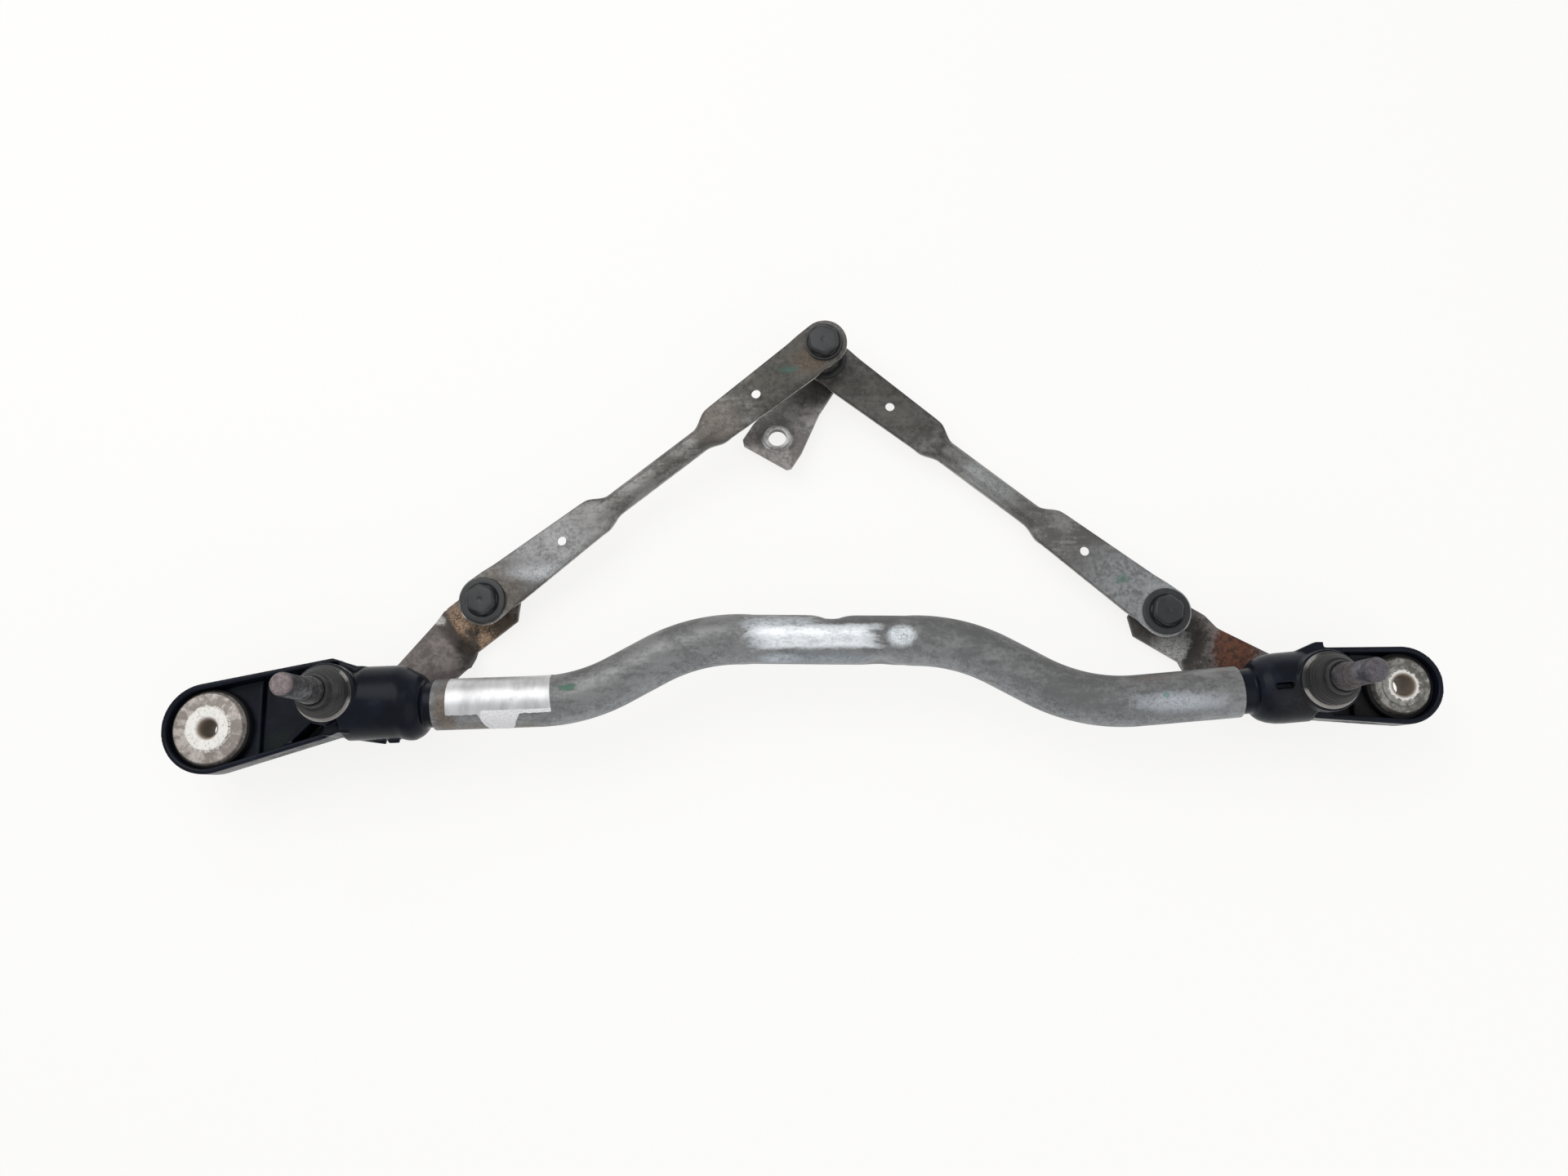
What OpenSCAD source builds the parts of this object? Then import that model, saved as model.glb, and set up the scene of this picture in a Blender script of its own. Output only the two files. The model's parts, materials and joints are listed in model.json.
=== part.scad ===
// Tandem wiper linkage: bent tube frame, two spindle housings, two levers, two links and a motor crank.
// Frame: origin on the left fixing bore, X towards the right spindle, Z along the spindles to their threads.

/* [Frame tube] */
// outside diameter of the frame tube
tube_d = 27; // [24:0.5:30]
// wall of the frame tube
tube_wall = 1.5; // [1:0.1:2.2]
// heading of the left straight against X
tube_head = 1.2; // [0:0.1:3]
// left straight, tube end to first bend
tube_left_run = 55; // [50:1:70]
// first bend, away from the spindle line
bend_out = 26.5; // [20:0.5:32]
// second bend, back to level
bend_level = 29; // [22:0.5:34]
// third bend, towards the spindle line
bend_back = 27.5; // [20:0.5:34]
// fourth bend, into the right straight
bend_in = 33; // [26:0.5:40]
// bend radius on the tube's axis
bend_r = 94; // [70:1:110]
// short straight inside each pair of bends
bend_run = 22; // [10:1:30]
// middle straight, where the motor plate is clamped
tube_mid_run = 94; // [80:1:120]
// right straight, last bend to tube end
tube_right_run = 52.5; // [45:0.5:70]
// thinning of the wall in the bends, inside and outside
bend_thin = 0.05; // [0.03:0.01:0.1]
// lap of the straights into the bends
bend_lap = 0.5; // [0.2:0.1:0.8]
// length of the clamp flats on the middle straight
clamp_len = 86; // [60:1:92]
// depth of the clamp flats
clamp_depth = 0.7; // [0.3:0.1:0.9]
// radius of the tool that makes the stake marks
stake_r = 5; // [3:0.5:8]
// depth of the stake marks
stake_depth = 0.9; // [0.4:0.1:1]
// stake mark centre, from the tube end
stake_in = 12; // [8:1:18]
// turn of the stake marks around the tube
stake_turn = 38; // [0:1:60]

/* [Label] */
// length of the blank foil label
label_len = 45; // [20:1:46]
// label start, from the left tube end
label_in = 8; // [5:1:9]
// thickness of the foil
label_t = 0.2; // [0.1:0.05:0.4]
// wrap of the foil around the tube
label_wrap = 200; // [90:5:300]

/* [Left housing] */
// left spindle from the left fixing, along X
left_arm_x = 67.6; // [60:0.1:80]
// left spindle from the left fixing, along Y
left_arm_y = 16.2; // [0:0.1:30]
// outside radius of the left eye
left_eye_r = 24; // [23:0.1:27]
// radius of the lug's root around the left spindle
left_root_r = 20.3; // [19.5:0.1:23]
// tube end from the left spindle, along the tube
left_reach = 53; // [50:0.5:60]
// tube axis from the left spindle, across the tube
left_off = -6.2; // [-8:0.1:0]
// radius of the left barrel
left_barrel_r = 19.6; // [18:0.1:20]
// visible neck between left barrel and tube
left_neck = 5; // [3:0.5:8]
// radius of the left bush flange
left_flange_r = 20; // [16:0.1:20.5]
// radius of the left fixing bore
left_bore_r = 4.4; // [3.5:0.1:6]

/* [Right housing] */
// right fixing from the right spindle, along X
right_arm_x = 43.8; // [42:0.1:60]
// right fixing from the right spindle, along Y
right_arm_y = -1.9; // [-10:0.1:10]
// outside radius of the right eye
right_eye_r = 20.3; // [19.8:0.1:24]
// radius of the lug's root around the right spindle
right_root_r = 18.6; // [18.3:0.1:22]
// tube end from the right spindle, along the tube
right_reach = 41.5; // [38:0.5:50]
// tube axis from the right spindle, across the tube
right_off = 0.7; // [-3:0.1:3]
// radius of the right barrel
right_barrel_r = 18.6; // [17.5:0.1:20]
// visible neck between right barrel and tube
right_neck = 7; // [4:0.5:9]
// radius of the right bush flange
right_flange_r = 15.7; // [13:0.1:16.5]
// radius of the right fixing bore
right_bore_r = 5.2; // [3.5:0.1:6]
// length of the core slot in the right barrel
slot_len = 9; // [5:0.5:10]
// width of the core slot
slot_w = 3.2; // [2:0.1:5]
// depth of the core slot
slot_depth = 5; // [2:0.5:7]

/* [Housing walls] */
// rim height above the tube's axis
rim_top = 6; // [4:0.5:10]
// underside of the lugs, below the tube's axis
lug_low = 10; // [8:0.5:13]
// wall of the lugs
lug_wall = 2.8; // [2:0.1:2.9]
// floor of the lugs
lug_floor = 6; // [5.5:0.5:8]
// deep pocket beside the boss, below the shallow floor
pocket_sink = 4; // [1:0.5:5]
// radius of the bearing boss
boss_r = 16; // [15:0.1:16.5]
// boss above the barrel
boss_rise = 0.6; // [0.4:0.1:2]
// underside of the boss, below the tube's axis
boss_low = 22; // [20.5:0.5:26]
// rounded shoulder of the barrels, along the tube
shoulder = 15; // [8:0.5:17]
// flat steps in the shoulder curve
shoulder_steps = 5; // [3:1:8]
// start of the barrels from the spindle
barrel_in = 6; // [2:0.5:9]
// depth of the spigots in the tube
spigot_len = 26; // [15:1:30]
// chamfer of the spigots
spigot_cham = 2; // [1:0.5:4]
// bore of the spigots
spigot_core_r = 6; // [4:0.5:7]
// thickness of ribs and tabs
rib_t = 2; // [1.5:0.1:3]
// direction of the diagonal rib, from the spindle
rib_turn = 225; // [215:1:235]
// tab length
tab_len = 6; // [3:0.5:8]
// tab height over the outline
tab_out = 2; // [1:0.1:4]
// run of the right fin up to its peak
fin_len = 10; // [6:0.5:14]
// height of the right fin over the outline
fin_out = 2.9; // [1.5:0.1:4]

/* [Fixings] */
// hole in the eye floor
eye_hole_r = 12; // [10.5:0.1:13]
// lower flange of the grommets
grommet_low_r = 16; // [14:0.1:17]
// thickness of the lower flange of the grommets
grommet_low_t = 3; // [2:0.5:4]
// grommet height above the eye floor
grommet_up = 5; // [3.5:0.5:6]
// radius of the bush sleeves
sleeve_r = 8; // [7:0.1:9]
// thickness of the bush flanges
flange_t = 3; // [2:0.5:4]
// sleeve end below the grommet
sleeve_out = 0.5; // [0.2:0.1:1.5]
// countersink of the left bore, wider than the bore
left_mouth = 2.2; // [1:0.1:3]
// countersink of the right bore, wider than the bore
right_mouth = 0.6; // [0.3:0.1:1]
// raised seat around each bore, wider than the countersink
seat_w = 5; // [2:0.1:6]
// height of the raised seat
seat_h = 0.8; // [0.3:0.1:1.5]

/* [Spindles] */
// radius of the spindle shafts
shaft_r = 7; // [6:0.1:7.4]
// radius of the wiper arm threads
thread_r = 6; // [5:0.1:6.4]
// length of the threads
thread_len = 24; // [15:0.5:28]
// length of the knurled cones
cone_len = 10; // [6:0.5:14]
// plain shaft above the seal caps
shaft_show = 1; // [0.5:0.1:3]
// end chamfer of the spindles
tip_cham = 1.4; // [0.5:0.1:2]
// radius of the spindle foot in the lever
foot_r = 6; // [5:0.1:6.5]
// radius of the riveted foot
rivet_r = 8.5; // [7.5:0.1:10]
// height of the riveted foot
rivet_h = 2.5; // [1.5:0.1:3]
// outside radius of the bearing bushes
bearing_r = 9.5; // [8.8:0.1:10.5]
// length of the bearing bushes
bearing_len = 14; // [10:0.5:18]
// land between the two bearing seats
land_r = 8; // [7.8:0.1:8.5]
// radius of the top washers
washer_r = 14.8; // [14:0.1:17]
// thickness of washers
washer_t = 1; // [0.8:0.1:1.5]
// circlip radius
clip_r = 9.6; // [8.5:0.1:10.5]
// circlip thickness
clip_t = 1.2; // [0.8:0.1:1.5]
// circlip groove depth
groove = 0.8; // [0.5:0.1:1]

/* [Seal caps] */
// radius of the seal caps
cap_r = 13.2; // [12.6:0.1:15.5]
// straight rim of the seal caps
cap_rim = 5; // [4:0.1:7]
// sloped part of the seal caps
cap_slope = 5; // [3:0.1:8]
// radius at the top of the slope
cap_top_r = 10.4; // [10:0.1:12]
// neck radius of the seal caps
cap_neck_r = 8.8; // [8.2:0.1:9.5]
// neck height of the seal caps
cap_neck = 5; // [3:0.1:8]
// hollow inside the seal caps
cap_hollow_r = 10.8; // [10.4:0.1:12]
// height of the hollow
cap_hollow = 3; // [2.5:0.1:3.5]

/* [Levers] */
// left lever, spindle to ball
left_lever_len = 89; // [80:0.5:100]
// left lever direction at rest
left_lever_turn = 38; // [30:0.5:48]
// right lever, spindle to ball
right_lever_len = 81; // [74:0.5:90]
// right lever direction at rest
right_lever_turn = 148; // [138:0.5:155]
// lever plate thickness
lever_t = 4; // [3:0.1:5]
// hub radius of the levers
hub_r = 14; // [12:0.1:16]
// inner edge of the left arm beside the spindle, away from the tube
left_arm_in = -4.5; // [-6:0.5:6]
// inner edge of the right arm beside the spindle, away from the tube
right_arm_in = 10.5; // [4:0.5:11.5]
// arm edge over the tube's far side, halfway along the arm
elbow_out = 27; // [22:0.5:29]
// arm edge at the joggle, on the tube's side
knee_out = 24; // [20:0.5:26]
// arm edge at the joggle, away from the tube
knee_in = 7; // [5:0.5:12]
// pad edge on the tube's side
pad_out = 17.5; // [14:0.5:19]
// pad edge away from the tube
pad_in = 13; // [12:0.5:16]
// lever end beyond the ball
lever_over = 14.5; // [11:0.5:16]
// end chamfers of the levers
lever_cham = 8; // [4:0.5:10]
// joggle start before the ball
joggle_in = 29; // [26:0.5:34]
// joggle length
joggle_run = 7; // [5:0.5:9]
// joggle depth
joggle = 10.5; // [9.5:0.1:12]

/* [Ball joints] */
// ball radius
ball_r = 6.5; // [6:0.1:7]
// ball centre above its plate
ball_up = 10.5; // [10:0.1:12]
// pitch of the two balls on the crank stud
ball_pitch = 18; // [17:0.1:22]
// stud neck radius
neck_r = 4; // [3:0.1:4.3]
// stud collar radius
collar_r = 7; // [6:0.1:8]
// stud collar height
collar_h = 2.5; // [1.5:0.1:3]
// stud shank radius
shank_r = 4; // [3:0.1:5]
// stud rivet radius
stud_rivet_r = 6; // [5.5:0.1:7]
// stud rivet height
stud_rivet_h = 1.5; // [1:0.1:2]
// socket body radius
socket_r = 9.3; // [8.8:0.1:9.6]
// socket flange radius at the levers
socket_flange_r = 12.9; // [11:0.1:13]
// socket flange radius at the crank
crank_flange_r = 10.4; // [10:0.1:11.5]
// socket flange thickness
socket_flange_t = 2; // [1.5:0.1:2.5]
// socket cap radius
socket_cap_r = 8.7; // [8.2:0.1:9]
// cap over the ball
socket_roof = 2; // [1.5:0.1:3]
// rounding of the caps
socket_cham = 1.2; // [0.5:0.1:2]
// dimple radius in the caps
dimple_r = 1.2; // [0.5:0.1:2]
// socket body below the ball centre
socket_low = 3.6; // [2.5:0.1:4]
// opened pivot: body radius of the ring
ring_r = 11.3; // [11:0.1:11.5]
// opened pivot: clearance around the ball
loop_play = 3.1; // [2.9:0.1:3.2]

/* [Links] */
// link length, ball to ball
link_len = 239.5; // [236:0.5:243]
// sheet thickness
sheet = 1.6; // [1.2:0.1:2]
// sheet underside above the ball centre
sheet_up = 0.6; // [0.3:0.1:1]
// half width at the lever end
wide_lever = 14; // [13.5:0.1:15]
// half width at the crank end
wide_crank = 13; // [12.8:0.1:14]
// half width at the shoulders
wide_shoulder = 11; // [10:0.1:12.5]
// half width of the middle channel
wide_mid = 6.3; // [5:0.1:8]
// shoulder start from the lever ball
shoulder_lever = 78; // [70:0.5:85]
// shoulder start from the crank ball
shoulder_crank = 76; // [76:0.5:85]
// length of the shoulders
shoulder_run = 13; // [8:0.5:18]
// edge lip on the wide ends, below the sheet
lip = 1.5; // [0.8:0.1:1.6]
// flange of the middle channel, below the sheet
channel = 7; // [4:0.1:9]
// raised bead height
bead_h = 0.8; // [0.4:0.1:1.2]
// raised bead half width
bead_w = 5; // [3:0.1:6]
// bead start from each ball
bead_in = 30; // [24:0.5:40]
// tooling hole radius
tool_r = 2.6; // [2:0.1:3.5]
// tooling hole from the lever ball
tool_lever = 55; // [45:0.5:65]
// tooling hole from the crank ball
tool_crank = 48; // [40:0.5:60]

/* [Crank] */
// crank length, ball to motor shaft hole
crank_len = 52; // [46:0.5:60]
// crank direction at rest
crank_turn = 238; // [225:0.5:255]
// lean of the free crank on its ball
crank_lean = 7; // [0:0.5:7]
// crank plate thickness
crank_t = 4; // [3:0.1:5]
// half width at the ball end
crank_ball_w = 12.6; // [11:0.1:14]
// half width at the motor end
crank_end_w = 16.4; // [14:0.1:18]
// plate beyond the motor shaft hole
crank_over = 13.4; // [11:0.1:14]
// corner chamfer of the motor end
crank_cham = 2; // [1:0.1:4]
// radius of the motor shaft hole
crank_bore_r = 5.3; // [4:0.1:6]
// nut seat ring, wider than the hole
nut_w = 2.6; // [1.5:0.1:4]
// nut seat ring height
nut_h = 0.5; // [0.3:0.1:1]

/* [Fits] */
// gap between parts that are pressed or clipped together
seat_gap = 0.05; // [0.02:0.01:0.1]
// running fit of the spindles
run_gap = 0.05; // [0.02:0.01:0.1]
// gap at faces that slide
slide_gap = 0.2; // [0.1:0.05:0.4]
// gap between round faces that turn past each other
free_gap = 0.3; // [0.3:0.05:0.4]

/* [Output] */
// sub-part to build, or all

/* [Hidden] */
$fn = 64;
// overlap of cutters past the faces they open
over = 1;
steel = [0.55, 0.56, 0.56];
dark_steel = [0.33, 0.31, 0.29];
black = [0.08, 0.09, 0.11];
rubber = [0.12, 0.12, 0.12];
pale = [0.78, 0.78, 0.74];
bronze = [0.62, 0.5, 0.3];

tube_r = tube_d / 2;
tube_in_r = tube_r - tube_wall;
spigot_r = tube_in_r - seat_gap;
left_axis = [left_arm_x, left_arm_y];

// pose of the tube's axis: x, y, heading
function go(p, len) = [p[0] + len * cos(p[2]), p[1] + len * sin(p[2]), p[2]];
function side(p, off) = [p[0] - off * sin(p[2]), p[1] + off * cos(p[2]), p[2]];
function turn(p, a, r) = let (s = sign(a), c = side(p, s * r)) concat(turned(c, p[2] + a, s * r), p[2] + a);
function turned(c, h, r) = [c[0] + r * sin(h), c[1] - r * cos(h)];
function flat(p) = [p[0], p[1]];

tube_0 = go(side([left_axis[0], left_axis[1], tube_head], left_off), left_reach);
tube_1 = go(tube_0, tube_left_run);
tube_2 = turn(tube_1, bend_out, bend_r);
tube_3 = go(tube_2, bend_run);
tube_4 = turn(tube_3, -bend_level, bend_r);
tube_5 = go(tube_4, tube_mid_run);
tube_6 = turn(tube_5, -bend_back, bend_r);
tube_7 = go(tube_6, bend_run);
tube_8 = turn(tube_7, bend_in, bend_r);
tube_9 = go(tube_8, tube_right_run);
right_axis = flat(side(go(tube_9, right_reach), right_off));
right_fix = right_axis + [right_arm_x, right_arm_y];

// heights
left_boss_top = left_barrel_r + boss_rise;
right_boss_top = right_barrel_r + boss_rise;
lever_top = -boss_low - washer_t - slide_gap;
lever_low = lever_top - lever_t;
pad_top = lever_top - joggle;
ball_z = pad_top + ball_up;
eye_floor = lug_floor - lug_low;
rib_low = (lug_floor - pocket_sink) / 2 - lug_low;
flange_z = eye_floor + grommet_up;
sleeve_z = -lug_low - grommet_low_t - sleeve_out;

// loop: the left link ends on the upper ball, the right link on the lower ball
left_ball = left_axis + left_lever_len * [cos(left_lever_turn), sin(left_lever_turn)];
right_ball = right_axis + right_lever_len * [cos(right_lever_turn), sin(right_lever_turn)];
upper_rise = ball_pitch * cos(crank_lean);
upper_shift = [0, ball_pitch * sin(crank_lean)];
left_span = sqrt(link_len * link_len - upper_rise * upper_rise);
function meet(a, ra, b, rb) =
    let (d = norm(b - a), u = (b - a) / d, k = (d * d + ra * ra - rb * rb) / (2 * d))
    a + k * u + sqrt(ra * ra - k * k) * [-u[1], u[0]];
crank_ball = meet(left_ball - upper_shift, left_span, right_ball, link_len);
upper_ball = crank_ball + upper_shift;
left_link_turn = atan2(upper_ball[1] - left_ball[1], upper_ball[0] - left_ball[0]);
right_link_turn = atan2(crank_ball[1] - right_ball[1], crank_ball[0] - right_ball[0]);
left_link_rise = asin(upper_rise / link_len);

// hollow tube segments
module tube_run(p, len, lap_a, lap_b) {
    run = len + lap_a + lap_b;
    translate([p[0], p[1], 0])
        rotate([0, 90, p[2]])
            translate([0, 0, -lap_a])
                difference() {
                    cylinder(r = tube_r, h = run);
                    translate([0, 0, -over])
                        cylinder(r = tube_in_r, h = run + 2 * over);
                }
}

module tube_bend(p, a) {
    c = side(p, sign(a) * bend_r);
    translate([c[0], c[1], 0])
        rotate(a > 0 ? p[2] - 90 : p[2] + 90 + a)
            rotate_extrude(angle = abs(a))
                translate([bend_r, 0])
                    difference() {
                        circle(r = tube_r - bend_thin);
                        circle(r = tube_in_r + bend_thin);
                    }
}

module stake(p, len) {
    translate([p[0], p[1], 0])
        rotate(p[2])
            rotate([-stake_turn, 0, 0])
                translate([len, 0, tube_r + stake_r - stake_depth])
                    sphere(r = stake_r);
}

module clamp_cut(s) {
    m = go(tube_4, (tube_mid_run - clamp_len) / 2);
    translate([m[0], m[1], 0])
        rotate(m[2])
            translate([0, s * (tube_d - clamp_depth) - tube_d / 2, -tube_d])
                cube([clamp_len, tube_d, 2 * tube_d]);
}

module frame_tube() {
    color(steel) {
        difference() {
            tube_run(tube_0, tube_left_run, 0, bend_lap);
            stake(tube_0, stake_in);
        }
        tube_bend(tube_1, bend_out);
        tube_run(tube_2, bend_run, bend_lap, bend_lap);
        tube_bend(tube_3, -bend_level);
        difference() {
            tube_run(tube_4, tube_mid_run, bend_lap, bend_lap);
            clamp_cut(1);
            clamp_cut(-1);
        }
        tube_bend(tube_5, -bend_back);
        tube_run(tube_6, bend_run, bend_lap, bend_lap);
        tube_bend(tube_7, bend_in);
        difference() {
            tube_run(tube_8, tube_right_run, bend_lap, 0);
            stake(tube_9, -stake_in);
        }
    }
}

module foil_label() {
    s = go(tube_0, label_in);
    color(pale)
        translate([s[0], s[1], 0])
            rotate([0, 90, s[2]])
                rotate(180 - label_wrap / 2)
                    rotate_extrude(angle = label_wrap)
                        translate([tube_r + seat_gap, 0])
                            square([label_t, label_len]);
}

// outline of two circles and their outer tangents, first circle at the origin
module bar(ra, rb, v) {
    d = norm(v);
    t = acos((ra - rb) / d);
    h = atan2(v[1], v[0]);
    circle(r = ra);
    translate(v)
        circle(r = rb);
    polygon([
        ra * [cos(h + t), sin(h + t)],
        ra * [cos(h - t), sin(h - t)],
        v + rb * [cos(h - t), sin(h - t)],
        v + rb * [cos(h + t), sin(h + t)]
    ]);
}

// open trough from the spindle to the fixing eye
module lug(root_r, eye_r, fix) {
    difference() {
        translate([0, 0, -lug_low])
            linear_extrude(lug_low + rim_top)
                bar(root_r, eye_r, fix);
        translate([0, 0, eye_floor])
            linear_extrude(lug_low + rim_top)
                bar(root_r - lug_wall, eye_r - lug_wall, fix);
        translate([0, 0, eye_floor - pocket_sink])
            linear_extrude(lug_low + rim_top)
                intersection() {
                    bar(root_r - lug_wall, eye_r - lug_wall, fix);
                    square([2 * (norm(fix) - eye_r - lug_wall), 4 * root_r], center = true);
                }
        translate([fix[0], fix[1], -lug_low - over])
            cylinder(r = eye_hole_r, h = lug_low + rim_top);
    }
}

// barrel, neck and spigot, turned about the tube's axis
module barrel(barrel_r, reach, neck) {
    round_end = reach - neck;
    round_in = round_end - shoulder;
    rotate([0, 90, 0])
        rotate_extrude()
            polygon(concat(
                [[0, barrel_in], [barrel_r, barrel_in]],
                [for (i = [0 : shoulder_steps]) [
                    spigot_r + (barrel_r - spigot_r) * cos(90 * i / shoulder_steps),
                    round_in + shoulder * sin(90 * i / shoulder_steps)
                ]],
                [
                    [spigot_r, reach + spigot_len - spigot_cham],
                    [spigot_r - spigot_cham, reach + spigot_len],
                    [spigot_core_r, reach + spigot_len],
                    [spigot_core_r, reach],
                    [0, reach]
                ]
            ));
}

module rib(turn, from, to, high) {
    rotate(turn)
        translate([from, -rib_t / 2, rib_low])
            cube([to - from, rib_t, high - rib_low]);
}

// seats for the two bearing bushes, with a land between them
module bearing_cut(boss_top) {
    translate([0, 0, -boss_low - over])
        cylinder(r = land_r, h = boss_low + boss_top + 2 * over);
    translate([0, 0, -boss_low - over])
        cylinder(r = bearing_r + seat_gap, h = bearing_len + over);
    translate([0, 0, boss_top - bearing_len])
        cylinder(r = bearing_r + seat_gap, h = bearing_len + over);
}

module housing(tube_dir, off, reach, neck, barrel_r, root_r, eye_r, fix) {
    top = barrel_r + boss_rise;
    difference() {
        union() {
            lug(root_r, eye_r, fix);
            translate([0, 0, -boss_low])
                cylinder(r = boss_r, h = boss_low + top);
            rotate(tube_dir)
                translate([0, off, 0])
                    barrel(barrel_r, reach, neck);
        }
        bearing_cut(top);
    }
}

module left_housing() {
    fix = -left_axis;
    color(black)
        translate(left_axis) {
            housing(
                tube_head, left_off, left_reach, left_neck,
                left_barrel_r, left_root_r, left_eye_r, fix
            );
            intersection() {
                rib(rib_turn, boss_r - over, norm(fix), rim_top - rib_t);
                translate([0, 0, -lug_low])
                    linear_extrude(lug_low + rim_top)
                        bar(left_root_r - rib_t / 2, left_eye_r - rib_t / 2, fix);
            }
            rotate(tube_head)
                translate([
                    left_reach - left_neck - shoulder - tab_len,
                    left_off - left_barrel_r - tab_out,
                    -rib_t
                ])
                    cube([tab_len, 2 * tab_out, rib_t]);
        }
}

module right_housing() {
    heading = tube_9[2];
    color(black)
        translate(right_axis)
            difference() {
                union() {
                    housing(
                        heading + 180, right_off, right_reach, right_neck,
                        right_barrel_r, right_root_r, right_eye_r, [right_arm_x, right_arm_y]
                    );
                    translate([0, right_root_r, rim_top - tab_len])
                        linear_extrude(tab_len)
                            polygon([
                                [-fin_len, -lug_wall / 2],
                                [0, fin_out],
                                [2 * tab_out, fin_out],
                                [2 * tab_out, -lug_wall / 2]
                            ]);
                }
                rotate(heading)
                    translate([
                        right_neck + shoulder / 2 - right_reach,
                        -right_off - slot_w / 2,
                        right_barrel_r - slot_depth
                    ])
                        cube([slot_len, slot_w, right_barrel_r]);
            }
}

module grommet(eye_r) {
    color(rubber)
        difference() {
            union() {
                translate([0, 0, eye_floor])
                    cylinder(r = eye_r - lug_wall - seat_gap, h = grommet_up);
                translate([0, 0, -lug_low])
                    cylinder(r = eye_hole_r - seat_gap, h = lug_floor + over);
                translate([0, 0, -lug_low - grommet_low_t])
                    cylinder(r = grommet_low_r, h = grommet_low_t);
            }
            translate([0, 0, -lug_low - grommet_low_t - over])
                cylinder(r = sleeve_r + seat_gap, h = lug_low + grommet_low_t + flange_z + 2 * over);
        }
}

module bush(flange_r, bore_r, mouth) {
    top = flange_z + flange_t;
    color(steel)
        difference() {
            union() {
                translate([0, 0, sleeve_z])
                    cylinder(r = sleeve_r, h = flange_z - sleeve_z);
                translate([0, 0, flange_z])
                    cylinder(r1 = flange_r, r2 = flange_r - flange_t / 2, h = flange_t);
                translate([0, 0, top])
                    cylinder(r = bore_r + mouth + seat_w, h = seat_h);
            }
            translate([0, 0, sleeve_z - over])
                cylinder(r = bore_r, h = top - sleeve_z + 2 * over);
            translate([0, 0, top + seat_h - mouth])
                cylinder(r1 = bore_r, r2 = bore_r + mouth + over, h = mouth + over);
        }
}

module left_grommet() {
    grommet(left_eye_r);
}

module left_bush() {
    bush(left_flange_r, left_bore_r, left_mouth);
}

module right_grommet() {
    translate(right_fix)
        grommet(right_eye_r);
}

module right_bush() {
    translate(right_fix)
        bush(right_flange_r, right_bore_r, right_mouth);
}

module ring(r_out, r_in, h) {
    difference() {
        cylinder(r = r_out, h = h);
        translate([0, 0, -over])
            cylinder(r = r_in, h = h + 2 * over);
    }
}

module bearing(axis, z) {
    color(bronze)
        translate([axis[0], axis[1], z])
            ring(bearing_r, shaft_r + run_gap, bearing_len);
}

module left_lower_bearing() {
    bearing(left_axis, -boss_low);
}

module left_upper_bearing() {
    bearing(left_axis, left_boss_top - bearing_len);
}

module right_lower_bearing() {
    bearing(right_axis, -boss_low);
}

module right_upper_bearing() {
    bearing(right_axis, right_boss_top - bearing_len);
}

module thrust_washer(axis) {
    color(pale)
        translate([axis[0], axis[1], -boss_low - washer_t])
            ring(hub_r, shaft_r + free_gap, washer_t);
}

module top_washer(axis, boss_top) {
    color(pale)
        translate([axis[0], axis[1], boss_top])
            ring(washer_r, shaft_r + free_gap, washer_t);
}

module left_thrust_washer() {
    thrust_washer(left_axis);
}

module right_thrust_washer() {
    thrust_washer(right_axis);
}

module left_top_washer() {
    top_washer(left_axis, left_boss_top);
}

module right_top_washer() {
    top_washer(right_axis, right_boss_top);
}

module seal_cap(axis, boss_top) {
    slope = cap_rim + cap_slope;
    color(rubber)
        translate([axis[0], axis[1], boss_top + washer_t])
            rotate_extrude()
                polygon([
                    [cap_hollow_r, 0],
                    [cap_r, 0],
                    [cap_r, cap_rim],
                    [cap_top_r, slope],
                    [cap_neck_r, slope],
                    [cap_neck_r, slope + cap_neck],
                    [shaft_r + run_gap, slope + cap_neck],
                    [shaft_r + run_gap, cap_hollow],
                    [cap_hollow_r, cap_hollow]
                ]);
}

module left_seal_cap() {
    seal_cap(left_axis, left_boss_top);
}

module right_seal_cap() {
    seal_cap(right_axis, right_boss_top);
}

// spindle turned from one bar: riveted foot, shaft with clip groove, knurl cone, thread
module spindle(axis, boss_top) {
    clip_z = boss_top + washer_t + slide_gap;
    cone_z = boss_top + washer_t + cap_rim + cap_slope + cap_neck + shaft_show;
    thread_z = cone_z + cone_len;
    tip_z = thread_z + thread_len;
    color(steel)
        translate(axis)
            rotate_extrude()
                polygon([
                    [0, lever_low - rivet_h],
                    [rivet_r, lever_low - rivet_h],
                    [rivet_r, lever_low],
                    [foot_r, lever_low],
                    [foot_r, lever_top],
                    [shaft_r, lever_top],
                    [shaft_r, clip_z],
                    [shaft_r - groove, clip_z],
                    [shaft_r - groove, clip_z + clip_t],
                    [shaft_r, clip_z + clip_t],
                    [shaft_r, cone_z],
                    [thread_r, thread_z],
                    [thread_r, tip_z - tip_cham],
                    [thread_r - tip_cham, tip_z],
                    [0, tip_z]
                ]);
}

module circlip(axis, boss_top) {
    color(steel)
        translate([axis[0], axis[1], boss_top + washer_t + slide_gap])
            ring(clip_r, shaft_r - groove + seat_gap, clip_t);
}

module left_spindle() {
    spindle(left_axis, left_boss_top);
}

module left_circlip() {
    circlip(left_axis, left_boss_top);
}

module right_spindle() {
    spindle(right_axis, right_boss_top);
}

module right_circlip() {
    circlip(right_axis, right_boss_top);
}

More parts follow.
